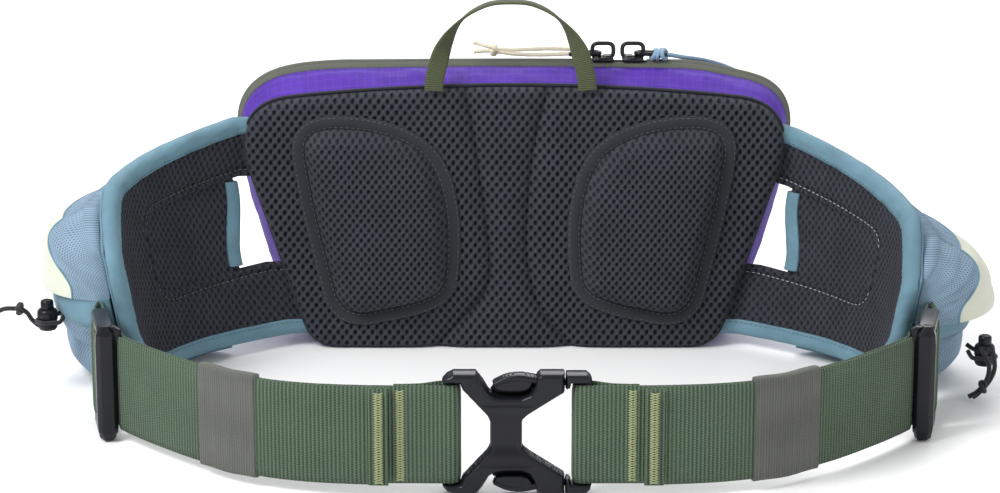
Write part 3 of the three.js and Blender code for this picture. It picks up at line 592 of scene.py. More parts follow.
def studio():
    scene = bpy.context.scene
    camera = bpy.data.objects.new("camera", bpy.data.cameras.new("camera"))
    scene.collection.objects.link(camera)
    camera.location = (-0.008, -1.7, 0.484)
    camera.rotation_euler = (math.radians(90 - 14.4), 0, 0)
    camera.data.sensor_width = 36
    camera.data.lens = 108
    camera.data.clip_start = 0.05
    scene.camera = camera
    area_light("key", (-1.0, -0.95, 1.35), (0, -0.1, 0.08), 0.8, 30)
    area_light("fill", (1.3, -1.2, 0.7), (0, -0.1, 0.08), 1.2, 5)
    area_light("back", (0.2, 1.3, 1.4), (0, 0.3, 0), 1.4, 26)
    world = bpy.data.worlds.new("studio")
    world.use_nodes = True
    world.node_tree.nodes["Background"].inputs["Color"].default_value = (1, 1, 1, 1)
    world.node_tree.nodes["Background"].inputs["Strength"].default_value = 0.6
    scene.world = world
    scene.view_settings.view_transform = "Standard"
    mesh = bpy.data.meshes.new("floor")
    corners = ((-6, -6), (6, -6), (6, 6), (-6, 6))
    mesh.from_pydata([(x, y, -0.0006) for x, y in corners], [], [(0, 1, 2, 3)])
    floor = bpy.data.objects.new("floor", mesh)
    scene.collection.objects.link(floor)
    shader = Shader("floor", 0.9)
    shader.bsdf.inputs["Base Color"].default_value = (0.92, 0.92, 0.925, 1)
    mesh.materials.append(shader.material)


# ------------------------------------------------------------------ free cords
def braided(turns, along):
    a = np.sin(TURN * (along / 2.4 + 3 * turns))
    b = np.sin(TURN * (along / 2.4 - 3 * turns))
    return 0.07 * a * b


def knot(name, center, size, radius, slot, body, turn=0.0):
    """An overhand knot drawn tight: a trefoil of cord."""
    t = np.linspace(0, TURN, 97)[:-1]
    x = np.sin(t) + 2 * np.sin(2 * t)
    y = np.cos(t) - 2 * np.cos(2 * t)
    z = -1.15 * np.sin(3 * t)
    line = np.c_[z, x * math.cos(turn) - y * math.sin(turn), x * math.sin(turn) + y * math.cos(turn)]
    line = line * size / 3 + np.array(center)
    return tube(name, np.concatenate([line, line[:1]]), radius, slot, body, 12, braided)


def free_cord(name, points, radius, slot, body, replaces=()):
    path = Line(spline(points)).point(np.linspace(0, 1, 60))
    cord = tube(name, path, radius, slot, body, 14, braided, replaces)
    length = np.linalg.norm(np.diff(path, axis=0), axis=1).sum() * MM


def cream_cord():
    """A doubled cord on the left pull, knotted near its ends."""
    slot, body = "cream_cord", "pull_left"
    tie = knot("cream_knot", (-11.5, -12.6, 167.0), 2.9, 1.15, slot, body)
    upper = [(38.5, -20, 168), (30, -19.4, 168.4), (20, -18, 168.4), (8, -15.6, 167.6), (-2, -13.6, 167),
             (-10, -12.6, 167.6), (-17, -12, 169.2), (-23.5, -11.6, 171)]
    lower = [(38.5, -20.4, 166), (29, -20.2, 165.8), (20, -19, 165.2), (8, -17, 164.8), (-2, -14.6, 165),
             (-10, -13, 165.8), (-17, -12.6, 166.2), (-23, -13, 165.6)]
    free_cord("cream_cord_upper", upper, 1.15, slot, body, ["cream_pull_cord"])
    free_cord("cream_cord_lower", lower, 1.15, slot, body)


def blue_cord():
    """A cord hitched to the right pull that runs down behind the zip."""
    slot, body = "blue_cord", "pull_right"
    t = np.linspace(0, TURN, 41)
    loops = []
    for i, x in enumerate((79.5, 82.5, 85.5)):
        ring = np.c_[x + 1.5 * np.sin(t + i), -20 + 4.6 * np.cos(t), 165.6 + 2.5 * np.sin(t)]
        loops.append(wire_part(ring, 1.2))
    hitch = many("blue_hitch", loops, slot, body)
    route = [(84.4, -20, 165.6), (90, -19, 164.8), (97, -16, 163), (104, -11, 161.2), (112, -5, 158.6),
             (120, 0, 155.4), (127, 3, 152)]
    free_cord("blue_cord_run", route, 1.3, slot, body, ["blue_pull_cord"])


def shock_cord(side_name, center, turn, runs):
    """A knot in the hem's elastic cord, and the ends that run through it."""
    body = f"wing_{side_name}"
    tie = knot(f"{side_name}_shock_knot", center, 2.7, 1.3, "black_cord", body, turn)
    for name, points, replaces in runs:
        free_cord(f"{side_name}_shock_{name}", points, 1.3, "black_cord", body, replaces)


def shock_cords():
    left = [(-253, -133.4, 36.8), (-257.4, -134, 37.3), (-261.4, -135, 41), (-264, -136, 45.4),
            (-267, -137, 47.6), (-272, -138, 48.4), (-277, -137, 47.6), (-282, -136, 44.6)]
    right = [(251.8, -143.6, 28), (255.4, -147.6, 20.6), (256, -148.2, 16.4), (255, -149, 12),
             (252.4, -149.6, 7.6), (249, -150.2, 4.4), (245, -151, 2.6)]
    second = [(258, -142.6, 28), (259, -146.6, 21), (258.8, -147.8, 16.4), (257, -148.6, 12),
              (254, -149.2, 7.8), (250.4, -149.6, 4), (247.4, -150.4, 1.9)]
    shock_cord("left", (-267.6, -137.2, 47.8), 0.5, [("run", left, ["left_shock_cord"])])
    runs = [("run", right, ["right_shock_cord"]), ("second", second, [])]
    shock_cord("right", (252.6, -149.6, 7.6), 1.1, runs)


# ------------------------------------------------------------------ back panel and pads
OUTLINE = Line(bezier_path(
    (0, 0), [(99, 0)], [(117, 0), (121, 17)], [(150, 104)], [(156, 126), (150, 141), (128, 144.5)],
    [(95, 148.5), (45, 151.5), (0, 151.5)], [(-45, 151.5), (-95, 148.5), (-128, 144.5)],
    [(-150, 141), (-156, 126), (-150, 104)], [(-121, 17)], [(-117, 0), (-99, 0)], [(0, 0)],
))
PAD = Line(bezier_path(
    (32, 41), [(28, 75), (32, 100), (42, 114)], [(52, 128), (74, 136), (100, 136)],
    [(118, 136), (127, 128), (125, 112)], [(120, 76), (114, 55), (108, 29)], [(102, 15), (90, 12), (76, 16)],
    [(46, 21), (34, 27), (32, 41)],
))


PAD_TAPE = 7.6


def outline_points(inset=0.0, wide=1.0, high=1.0, count=220):
    share = np.arange(count) / count
    at, t = OUTLINE.point(share), OUTLINE.tangent(share)
    return at * [wide, high] + np.c_[-t[:, 1], t[:, 0]] * inset


def pad_points(side, inset, count=120, closed=False):
    share = np.linspace(0, 1, count, endpoint=closed)
    t = unit(PAD.point((share + 0.002) % 1) - PAD.point((share - 0.002) % 1))
    points = PAD.point(share) + np.c_[t[:, 1], -t[:, 0]] * inset
    return points * [side, 1]


def rolled(inside, radius):
    """How far a padded sheet's face falls back towards its edge: 1 at the edge, 0 beyond the radius."""
    return 1 - np.sqrt(np.clip(1 - (1 - np.clip(inside, 0, radius) / radius) ** 2, 0, 1))


def dip(away, wide):
    """1 on a line, falling to nothing beyond about twice wide from it."""
    return np.exp(-((away / wide) ** 2))


def towards_wearer(flat, height):
    return stack(flat[:, 0], PANEL_FACE - height, flat[:, 1])


def groove_distance(flat):
    """Distance from the two grooves that run down the back panel."""
    left = spline([(-27.6, 149), (-24.8, 135.4), (-21.5, 115.3), (-18.7, 94.5), (-15.9, 73.5), (-13.9, 52.4),
                   (-15, 37.1), (-21.1, 26.5), (-30.9, 15.8), (-43.5, 2)], 6)
    right = spline([(18.9, 151), (11.7, 122.2), (7.8, 87.5), (7.3, 52.4), (14.8, 22.9), (32.1, 1)], 6)
    return np.minimum(line_distance(flat, left), line_distance(flat, right))


def panel_hole_and_groove_shade(flat):
    # Painted shade: dark in the mesh's holes, and along the two grooves down the panel.
    return np.maximum(pits(*flat.T), 0.45 * dip(groove_distance(flat), 0.9))


def panel_face(flat, inside):
    away = groove_distance(flat)
    crease = 1.3 * dip(away, 1.6) + 2.8 * dip(away, 6.0)
    puffed = 0.5 * wobble(*flat.T, 60)
    return puffed - 5.5 * rolled(inside, 6) - crease - 1.7 * pits(*flat.T) * smooth(inside / 2.5)


def back_panel():
    panel = relief("mesh_panel", [outline_points()], 0.62, towards_wearer, panel_face, -6.9,
                   "spacer_mesh", "bag",
                   panel_hole_and_groove_shade, ["back_panel"])


def pad_pits(flat):
    """Holes of the mesh drawn tight over a pad: a little smaller and closer."""
    return pits(*flat.T, 4.3, 2.8, 1.05, 1.5)


def pad_face(flat, inside):
    share = np.clip(inside / 22, 0, 1)
    dome = 0.4 + 10.5 * (1 - (1 - np.clip(inside / 9, 0, 1)) ** 2) + 3.0 * smooth(share)
    return dome + 0.4 * wobble(*flat.T, 50) * share - 1.3 * pad_pits(flat) * smooth(inside / 2)


def back_pad(name, side):
    """A domed pad, and the tape sewn down round it."""
    pad = relief(f"{name}_pad_mesh", [pad_points(side, 7)], 0.6, towards_wearer, pad_face, 0.3, "spacer_mesh",
                 "bag", pad_pits, [f"{name}_back_pad"])
    rim, inner = (pad_points(side, inset, 241, True) for inset in (0, PAD_TAPE))

    def border(u, v, w):
        i = np.round(u * 240).astype(int)
        at = mix(rim[i], inner[i], v[:, None])
        raised = 0.2 + 1.9 * np.sqrt(np.clip(np.sin(math.pi * np.clip(v * 0.86 + 0.06, 0, 1)), 0, 1))
        return towards_wearer(at, np.where(w > 0.5, 0.1, raised + 0.12 * wobble(*at.T, 9)))

    slab(f"{name}_pad_tape", border, 240, 10, (PAD.length, PAD_TAPE), "border_tape", "bag",
         replaces=[f"{name}_pad_border"])
    for row, inset, height in (("outer", 1.1, 1.5), ("inner", 6.3, 1.7)):
        line = towards_wearer(pad_points(side, inset, 200, True), height)
        out = [(0, -1, 0)] * 200
        stitches(f"{name}_pad_{row}_seam", line, out, "grey_thread", "bag", (1.7, 1.5, 0.4, 0.3))


# ------------------------------------------------------------------ bag walls
BAG_REAR, BAG_FRONT = -42.7, 46.0
FRONT_ZIP = 66.0                 # height of the front pocket's zip


def bag_point(share, depth, out):
    """Points of the bag's wall at a share of its outline and a depth, out mm outside it."""
    at, t = OUTLINE.point(share), OUTLINE.tangent(share)
    wide, high, flat = (np.interp(depth, RING_DEPTH, ring) for ring in (RING_WIDE, RING_HIGH, RING_FLAT))
    near_top = np.where(at[:, 1] > 104, 1 - smooth((np.abs(at[:, 0]) - 90) / 44), 0)
    fuller = np.where(at[:, 1] > 104, 3.0 * flat * np.exp(-(((at[:, 0] + 126) / 19) ** 2)), 0)
    height = mix(at[:, 1], PANEL_HEIGHT, flat * near_top) + fuller
    return stack(at[:, 0] * wide + t[:, 1] * out, depth, height * high / PANEL_HEIGHT - t[:, 0] * out)


def share_at(x):
    """Share of the outline whose point on the top edge has the given x."""
    shares = np.linspace(0.3, 0.7, 400)
    return float(np.interp(-x, -OUTLINE.point(shares)[:, 0], shares))


def bag_wall(name, s0, s1, y0, y1, nu, nv, slot, replaces, bulge=0.0, creases=0.0, lift=(0.0, 0.0)):
    """A wall between two shares of the outline and two depths, lifted off it by lift at each depth."""
    length = abs(s1 - s0) * OUTLINE.length

    def place(u, v, w):
        share, depth = mix(s0, s1, u), mix(y0, y1, v)
        edge = np.sin(math.pi * np.clip(v, 0, 1)) ** 0.6 * np.sin(math.pi * np.clip(u, 0, 1)) ** 0.3
        loose = bulge * edge + creases * edge * wobble(u * length, v * (y1 - y0) * 2.2, 26, s0 * 9)
        loose = loose + creases * 0.4 * edge * wobble(u * length, v * 9, 9, s1 * 5)
        return bag_point(share % 1, depth, mix(*lift, v) + loose - w * FABRIC)

    return slab(name, place, nu, nv, (length, y1 - y0), slot, "bag", replaces=replaces)


def bag_line(share, depth, out):
    return bag_point(share, np.full(len(share), float(depth)), out)


def bag_walls():
    s0, s1 = ZIP_START - 0.035, ZIP_END + 0.035
    walls = (
        ("rear_band", s0, s1, BAG_REAR, -25.6, 360, 24, "rear_top_band", 1.3, 1.0),
        ("top_band", s0, s1, -10.3, BAG_FRONT, 220, 40, "front_top_band", 1.6, 0.9),
        ("side_wall_left", s1 + 0.0008, 0.865, BAG_REAR, BAG_FRONT, 90, 60, "left_side_panel", 8.0, 1.0),
        ("side_wall_right", 0.135, s0 - 0.0008, BAG_REAR, BAG_FRONT, 90, 60, "right_side_panel", 8.0, 1.0),
    )
    for name, start, end, y0, y1, nu, nv, node, bulge, creases in walls:
        bag_wall(name, start, end, y0, y1, nu, nv, "ripstop", [node], bulge, creases)

    def bottom(u, v, w):
        return bag_point(mix(-0.134, 0.134, u) % 1, mix(BAG_REAR, BAG_FRONT, v), 0 * u - w * FABRIC)

    slab("bottom_wall", bottom, 120, 40, (0.268 * OUTLINE.length, BAG_FRONT - BAG_REAR), "ripstop", "bag",
         replaces=["bottom_panel"])
    share = np.linspace(s0 + 0.01, s1 - 0.01, 300)
    line = bag_line(share, -27.4, 1.1)
    out = bag_line(share, -27.4, 5.0) - line
    stitches("rear_band_seam", line, unit(out), "purple_thread", "bag", (2.2, 1.0, 0.5, 0.3))
    # The rear piping is a thin tube in the dark tape colour: painted shade where the mesh's rolled edge meets
    # the purple band.
    for name, depth, lift, slot in (("front", 46.6, 0.6, "ripstop"), ("rear", -43.2, 0.2, "border_tape")):
        line = bag_line(np.linspace(0, 0.9999, 500), depth, lift).clip([-400, -400, 1.4], None)
        tube(f"{name}_piping", line, 0.9, slot, "bag", 10, closed=True)


def outwards(base):
    """Places flat points on the bag's outer side, at a depth of base and a height above it."""
    return lambda flat, height: stack(flat[:, 0], base + height, flat[:, 1])


def cushion(depth, radius, creases):
    """A soft face of the given depth with rolled edges and shallow creases."""
    def face(flat, inside):
        soft = creases * (wobble(*flat.T, 44, 2) + 0.4 * wobble(*flat.T, 13, 5)) * smooth(inside / 14)
        return depth + soft - (depth - 0.3) * rolled(inside, radius)
    return face


def zip_teeth(flat, inside):
    x, z = flat.T
    band = np.exp(-(((z - FRONT_ZIP) / 1.9) ** 4))
    return 0.7 + band * (0.9 + 0.35 * np.sin(TURN * x / 1.5)) - 0.3 * dip(z - FRONT_ZIP, 0.35)


def ordered(points, z, way):
    """Outline points sorted round the middle of the outline's level edge at z."""
    return points[np.argsort(way * np.arctan2(points[:, 1] - z, points[:, 0]) % TURN)]


def front_face():
    wide, high = RING_WIDE[-1], RING_HIGH[-1] / PANEL_HEIGHT
    relief("front_wall", [outline_points(0, wide, high)], 1.5, outwards(46.3), cushion(2.0, 3, 0.0), 0.0,
           "ripstop", "bag", replaces=["front_panel"])
    rim = outline_points(4, wide, high, 400)
    low, top = FRONT_ZIP - 4.6, FRONT_ZIP + 4.6
    pocket = ordered(rim[rim[:, 1] < low], low, -1)
    flap = ordered(rim[rim[:, 1] > top], top, 1)
    face, half = outwards(48.8), 112.0
    relief("pocket_face", [pocket], 1.1, face, cushion(2.6, 4, 0.5), 0.0, "wing_fabric", "bag",
           replaces=["front_pocket"])
    relief("pocket_flap", [flap], 1.1, face, cushion(2.6, 4, 0.35), 0.0, "ripstop", "bag",
           replaces=["front_flap"])
    tape = np.array([(x, FRONT_ZIP + z) for x, z in ((-half, -5), (half, -5), (half, 5), (-half, 5))])
    relief("pocket_zip", [tape], 0.42, face, zip_teeth, 0.0, "zip_tape", "bag", replaces=["front_zipper"])
    x = -87.5
    parts = [
        box_part((x, 51.4, 66), (9, 1.6, 7.2), bevel=0.5), box_part((x, 53.0, 66), (7, 1.4, 6.4), bevel=0.6),
        box_part((x, 54.0, 65.6), (2.2, 1.2, 5.4), bevel=0.4),
    ]
    many("pocket_slider", parts, "pull_metal", "front_slider", replaces=["front_slider"])
    tab = [(-90.0, 61.8), (-85, 61.8), (-84.5, 40), (-85.4, 37.9), (x, 37), (-89.6, 37.9), (-90.5, 40)]
    relief("pocket_pull", [np.array(tab)], 0.4, outwards(51.9),
           lambda flat, inside: 1.8 - 0.6 * rolled(inside, 0.9), 0.0,
           "wing_fabric", "front_pull", replaces=["front_pull_tab"])


# ------------------------------------------------------------------ main zip
BAG_ZIP_Y = -20.0
ZIP_LIFT = 1.5                   # the tapes stand up into a ridge along the teeth


def main_zip():
    s0, s1 = ZIP_START - 0.03, ZIP_END + 0.03
    for name, y0, y1, nv, creases, lift in (("rear", -25.6, -22.2, 6, 0.1, (0.3, ZIP_LIFT)),
                                            ("front", -17.8, -10.3, 8, 0.15, (ZIP_LIFT, 0.3))):
        bag_wall(f"tape_{name}", s0, s1, y0, y1, 260, nv, "zip_tape", [f"zipper_tape_{name}"], 0.3, creases,
                 lift)
    for name, a, b in (("right", s0, share_at(73.5)), ("left", share_at(44.5), s1)):
        length = abs(b - a) * OUTLINE.length

        def coil(u, v, w):
            teeth = 0.35 * np.abs(np.sin(math.pi * (u * length / 1.3 + 0.5 * (v > 0.5))))
            rise = 0.2 + (0.75 + teeth) * np.sqrt(np.clip(1 - (np.abs(v - 0.5) * 2.1) ** 2, 0, 1))
            out = ZIP_LIFT + np.where(w > 0.5, -1.6, rise - 0.5 * dip(v - 0.5, 0.07) - 0.4)
            return bag_point(mix(a, b, u), mix(-22.4, -17.6, v), out)

        slab(f"coil_{name}", coil, int(length / 0.22), 16, (length, 4.8), "zip_tape", "bag",
             replaces=[f"zipper_coil_{name}"])


def rounded_box(half_wide, half_high, corner, steps):
    """A closed rounded rectangle from the middle of its lower left, as a path of flat points."""
    hx, hz, c = half_wide, half_high, corner
    return bezier_path(
        (-hx + c, -hz), [(hx - c, -hz)], [(hx, -hz), (hx, -hz + c)], [(hx, hz - c)], [(hx, hz), (hx - c, hz)],
        [(-hx + c, hz)], [(-hx, hz), (-hx, hz - c)], [(-hx, -hz + c)], [(-hx, -hz),
        (-hx + c, -hz)], steps=steps,
    )


def slider(name, x, way):
    """A slider with the ring on its back, and the looped pull that points its way."""
    y = BAG_ZIP_Y
    loop = rounded_box(6, 4.1, 3.4, 6)
    ring = Line(stack(x + loop[:, 0], y, 167.8 + loop[:, 1])).point(np.linspace(0, 1, 61))
    body = [
        box_part((x, y, 163.8), (12, 9, 1.2), bevel=0.5),
        box_part((x, y - 3.9, 162.8), (12, 1.1, 2.2), bevel=0.4),
        box_part((x, y + 3.9, 162.8), (12, 1.1, 2.2), bevel=0.4),
        box_part((x + way * -2.6, y, 164.5), (5.4, 6.4, 1.6), bevel=0.6),
        wire_part(ring, 1.2),
    ]
    many(f"slider_{name}_body", body, "pull_metal", f"slider_{name}", replaces=[f"slider_{name}"])
    root, tip = x + way * 4.2, x + way * 18.5
    bend_start, back = tip - way * 4, root - way * 2.4
    loop = bezier_path(
        (root, -2.6), [(bend_start, -3.2)], [(tip, -3.2), (tip, 0)], [(tip, 3.2), (bend_start, 3.2)],
        [(root, 2.6)], [(back, 2.4), (back, 0)], [(back, -2.4), (root, -2.6)], steps=8,
    )
    droop = 166.4 - 0.05 * np.abs(loop[:, 0] - root)
    line = Line(np.c_[loop[:, 0], y + loop[:, 1], droop]).point(np.linspace(0, 1, 71))
    plate = box_part(((root + tip) / 2 + way, y, 165.9), (6.4, 4.4, 1.5), bevel=0.5)
    many(f"pull_{name}_loop", [wire_part(line, 1.25), plate], "plastic", f"pull_{name}",
         replaces=[f"pull_{name}"])


# ------------------------------------------------------------------ haul handle
def haul_handle():
    """Webbing in an arch: flat along the panel at its feet, turned edge-on over the top."""
    right = [(0, -40, 199), (13.4, -41, 197.6), (27, -44, 190), (37, -49, 176), (42, -51.5, 160),
             (43, -51.4, 151)]
    middle = np.array([-2.0, 0, 0])
    path = Line(spline(np.array([(-x, y, z) for x, y, z in right[:0:-1]] + right) + middle))
    foot = [(1, 0, 0), (1, 0.1, 0), (0.7, 0.7, 0), (0.2, 1, 0), (0, 1, 0)]
    across = spline([*foot, (0, 1, 0), *((-x, y, z) for x, y, z in foot[::-1])])
    turn = np.linspace(0, 1, len(across))

    def place(u, v, w):
        tangent = path.tangent(u)
        side = stack(*(np.interp(u, turn, column) for column in across.T))
        side = unit(side - tangent * (side * tangent).sum(1, keepdims=True))
        normal = np.cross(tangent, side)
        edge = np.sqrt(1 - np.abs(2 * v - 1) ** 6)
        rib = 0.1 * np.sin(TURN * u * path.length / 1.2)
        thick = (w - 0.5) * (1.7 * (0.35 + 0.65 * edge) + rib)
        return path.point(u) + side * ((v - 0.5) * 10.6)[:, None] + normal * thick[:, None]

    slab("handle_loop", place, int(path.length / 0.3), 10, (path.length, 10.6), "handle_webbing", "handle",
         replaces=["haul_handle"])


# ------------------------------------------------------------------ hip wings
WING_PLAN = np.array([(156.0, -44.0), (198, -80), (225, -122), (215, -172)])
WING_REACH = 150.0               # mm of wing per unit share of its plan curve
RIGHT_DROOP = 6.0, 16.0           # how much lower the right wing's top hangs at its root, and more at its tip
WING_TUCK = 21.0                 # the wing's arms run on this far behind the back panel's edge


def wing_point(side, share, z, out):
    """Points of a wing at a share of its plan curve, a height, and a distance out from its inner face."""
    share = np.asarray(share, float)
    t = np.clip(share, 0, 1)
    if side > 0:
        at_root = np.clip(share + 0.14, 0, 0.14) / 0.14
        z = z - (RIGHT_DROOP[0] + RIGHT_DROOP[1] * t) * smooth((z - 12) / 100) * at_root
    at = bezier(WING_PLAN, t)
    tangent = unit(bezier(np.diff(WING_PLAN, axis=0), t))
    at = at + np.array([1.0, -0.12]) * (np.minimum(0, share) * WING_REACH)[:, None]
    lean = 24 * t * (1 - z / 120)
    slope = 0.3 * np.maximum(0, 105 - z) * (1 - t) ** 2
    return stack(side * (at[:, 0] - tangent[:, 1] * out - lean - slope), at[:, 1] + tangent[:, 0] * out, z)


def wing_top(u):
    return 131 - 22 * u - 24 * smooth((u - 0.7) / 0.3) ** 1.5


def wing_end(v):
    return mix(0.62, 0.9, np.sin(math.pi / 2 * np.clip(v / 0.5, 0, 1)) ** 0.9)


def wing_flat(u, v):
    """The wing laid flat: mm along its plan curve, and height."""
    return stack(u * wing_end(v) * WING_REACH, mix(WING_LOW, wing_top(u), v))


def wing_edge(count=60):
    """The wing's outer edge laid flat: from the root's foot along the bottom, the tip and the top."""
    go = np.linspace(0, 1, count)
    lower = wing_flat(go * 0.93, 0 * go)
    tip = wing_flat(1 + 0 * go, mix(0.07, 0.9, go))
    upper = wing_flat(0.93 * (1 - go), 1 + 0 * go)
    corner_low = bezier([lower[-1], wing_flat(1.0, 0.0), tip[0]], np.linspace(0, 1, 12)[1:-1])
    corner_top = bezier([tip[-1], wing_flat(1.0, 1.0), upper[0]], np.linspace(0, 1, 12)[1:-1])
    ends = np.array([[-WING_TUCK, WING_LOW]]), np.array([[-WING_TUCK, wing_top(0)]])
    line = np.concatenate([ends[0], lower, corner_low, tip, corner_top, upper, ends[1]])
    return Line(line).point(np.linspace(0, 1, 220))


def window_edge():
    """The window's edge laid flat, from the top at the root round its far end to the bottom at the root."""
    end, low, high = WINDOW["end"], WINDOW["low"], WINDOW["high"]
    go = np.linspace(0, 1, 14)
    top = wing_flat(mix(0, end - 0.07, go), high + 0 * go)
    far = wing_flat(end + 0 * go, mix(high - 0.06, low + 0.06, go))
    foot = wing_flat(mix(end - 0.07, 0, go), low + 0 * go)
    first = bezier([top[-1], wing_flat(end, high), far[0]], np.linspace(0, 1, 8)[1:-1])
    second = bezier([far[-1], wing_flat(end, low), foot[0]], np.linspace(0, 1, 8)[1:-1])
    ends = top[:1] - [WING_TUCK, 0], foot[-1:] - [WING_TUCK, 0]
    return np.concatenate([ends[0], top, first, far, second, foot, ends[1]])


def bend(side_name):
    """The bag, the wing and weights for the pieces at a wing's root; make leaves such pieces fixed where they
    are built.
    """
    side = SIDES[side_name]
    return "bag", f"wing_{side_name}", (side * 0.140, -0.040, 0.07), (side * 0.166, -0.058, 0.07)


def wing_place(side):
    return lambda flat, height: wing_point(side, flat[:, 0] / WING_REACH, flat[:, 1], -height)


def section_sweep(name, rings, slot, body, uv=None):
    """A closed skin through equal rings of points, capped at both ends."""
    return make(name, rings.reshape(-1, 3), skin_faces(*rings.shape[:2]), slot, body, uv)


def binding(name, side, edge, section, slot, body, crinkle=0.35):
    """Cloth bound round a wing's edge: section gives (mm in from the edge, mm out from the inner face)."""
    reach = np.r_[0, np.cumsum(np.linalg.norm(np.diff(edge, axis=0), axis=1))]
    tangent = unit(np.gradient(edge, axis=0))
    inward = np.c_[-tangent[:, 1], tangent[:, 0]]
    profile = Line(spline([*section, section[0]], 8)).point(np.linspace(0, 1, 33)[:-1])
    count = len(edge)
    across = profile[None, :, 0] * (1 + 0.05 * wobble(reach, 0 * reach, 31, 3))[:, None]
    out = profile[None, :, 1] + crinkle * wobble(reach[:, None], 3 * profile[None, :, 0], 12, 1)
    flat = edge[:, None] + inward[:, None] * across[..., None]
    z = np.maximum(flat[..., 1], 1.0).ravel()
    points = wing_point(side, (flat[..., 0] / WING_REACH).ravel(), z, out.ravel())
    uv = np.c_[np.repeat(reach, 32), np.tile(np.linspace(0, 30, 32), count)]
    return section_sweep(name, points.reshape(count, 32, 3), slot, body, uv)


EDGE_SECTION = [
    (6.8, -0.5), (4.0, -1.0), (1.0, -0.8), (-1.6, 0.8), (-2.6, 3.6), (-1.6, 6.4), (1.0, 8.0), (4.0, 8.2),
    (6.8, 7.8),
    (6.6, 3.6),
]
FLAP_SECTION = [
    (6.5, 1.6), (3.4, 1.0), (0.4, 1.2), (-1.4, 2.6), (-2.0, 4.4), (-1.4, 6.2), (0.4, 7.2), (3.4, 7.4),
    (6.5, 7.0),
    (6.3, 4.4),
]


def wing(name, side):
    edge, window = wing_edge(), window_edge()
    loop = np.concatenate([edge, window])
    seam = np.array([p + d for p, d in zip(window, 4.4 * edge_normals(window))])

    def face(flat, inside):
        dent = 1.9 * np.exp(-((line_distance(flat, seam) / 1.7) ** 2))
        holes = 1.0 * wing_pits(flat) * smooth(inside / 2)
        return -3.5 * rolled(inside, 4) - dent + 0.5 * wobble(*flat.T, 46) - holes

    def back(flat, inside):
        return 3.5 * rolled(inside, 4) - 7.0

    pad = relief(f"{name}_wing_mesh", [loop], 0.72, wing_place(side), face, back, "wing_mesh", bend(name),
                 wing_pits, [f"{name}_wing_pad"])
    for part, points in (("upper", seam[:23]), ("lower", seam[-23:])):
        at = wing_place(side)(points, 0 * points[:, 0] - 0.5)
        out = wing_place(side)(points, 0 * points[:, 0] + 3.0) - at
        thread = "pale_thread" if side > 0 else "grey_thread"
        stitches(f"{name}_window_{part}_seam", at, unit(out), thread, bend(name), (2.0, 1.3, 0.5, 0.4))

    binding(f"{name}_edge_binding", side, edge, EDGE_SECTION, "wing_fabric", bend(name))
    tangent = unit(np.gradient(edge, axis=0))
    line = edge + np.c_[-tangent[:, 1], tangent[:, 0]] * 5.4
    at = wing_place(side)(line, 0 * line[:, 0] + 0.9)
    out = wing_place(side)(line, 0 * line[:, 0] + 4.0) - at
    stitches(f"{name}_binding_seam", at, unit(out), "blue_thread", bend(name), (2.0, 1.2, 0.45, 0.35))

    def flap_face(flat, inside):
        holes = 0.9 * wing_pits(flat) * smooth(inside / 2)
        return -2.6 - 1.6 * rolled(inside, 2.5) - holes + 0.5 * wobble(*flat.T, 40)

    relief(f"{name}_flap_mesh", [wing_flap_outline()], 0.72, wing_place(side), flap_face, -6.2, "wing_mesh",
           f"wing_{name}", wing_pits, [f"{name}_wing_flap"])
    root = Line(flap_root_line()).point(np.linspace(0, 1, 60))
    binding(f"{name}_flap_binding", side, root, FLAP_SECTION, "wing_fabric", f"wing_{name}", 0.2)

    def shell(u, v, w):
        flat = wing_flat(mix(flap_start(v), 0.985, u), mix(0.012, 0.985, v))
        out = 7.9 + np.where(w > 0.5, 0, FABRIC) + 0.25 * wobble(*flat.T, 20)
        return wing_point(side, flat[:, 0] / WING_REACH, flat[:, 1], out)

    slab(f"{name}_outer_shell", shell, 110, 90, (130, 120), "wing_fabric", f"wing_{name}",
         replaces=[f"{name}_wing_shell"])


def edge_normals(points):
    """Unit directions out of the window, into the wing's cloth."""
    tangent = unit(np.gradient(points, axis=0))
    return np.c_[-tangent[:, 1], tangent[:, 0]]


def wing_pits(flat):
    """The wing's mesh is stretched tall and lies a little aslant."""
    x = flat[:, 0] * 0.97 + flat[:, 1] * 0.24
    z = flat[:, 1] * 0.97 - flat[:, 0] * 0.24
    return pits(x, z, 4.2, 3.0, 0.95, 1.75)


def flap_start(v):
    """Where the wing's outer cloth begins: nearer the bag at the top, so that its edge hangs upright."""
    return 0.115 - 0.09 * smooth((v - 0.33) / 0.41)


def flap_root_line():
    v = np.linspace(WINDOW["high"] - 0.016, WINDOW["low"] + 0.016, 20)
    return wing_flat(flap_start(v), v)


def wing_flap_outline():
    go = np.linspace(0, 1, 20)
    low, high = WINDOW["low"] - 0.02, WINDOW["high"] + 0.02
    end = WINDOW["end"] + 0.03
    root = mix(high, low, go)
    return np.concatenate([
        wing_flat(mix(flap_start(low), end, go), low + 0 * go), wing_flat(end + 0 * go, mix(low, high, go)),
        wing_flat(mix(end, flap_start(high), go), high + 0 * go), wing_flat(flap_start(root), root),
    ])


# ------------------------------------------------------------------ stretch pockets on the wings
POCKET_BASE = 9.9                # out from the wing's inner face to the pocket's seam
POCKET_BULGE = 43.5
GUSSET_WIDE = 34.0, 52.0         # the mesh beside the cream face, at the hem and at the brim
POCKET_SAG = {"left": 6.0, "right": 13.0}    # how much further the upper part bulges just above its hem
POCKET_SPLIT, POCKET_BRIM = 0.95, 0.80    # where the cream face meets the mesh beside and above it
HEM_LOW = {"left": 40.0, "right": 32.0}


def pocket_arch(a):
    return np.sin(math.pi * np.clip(a, 0, 1)) ** 0.5


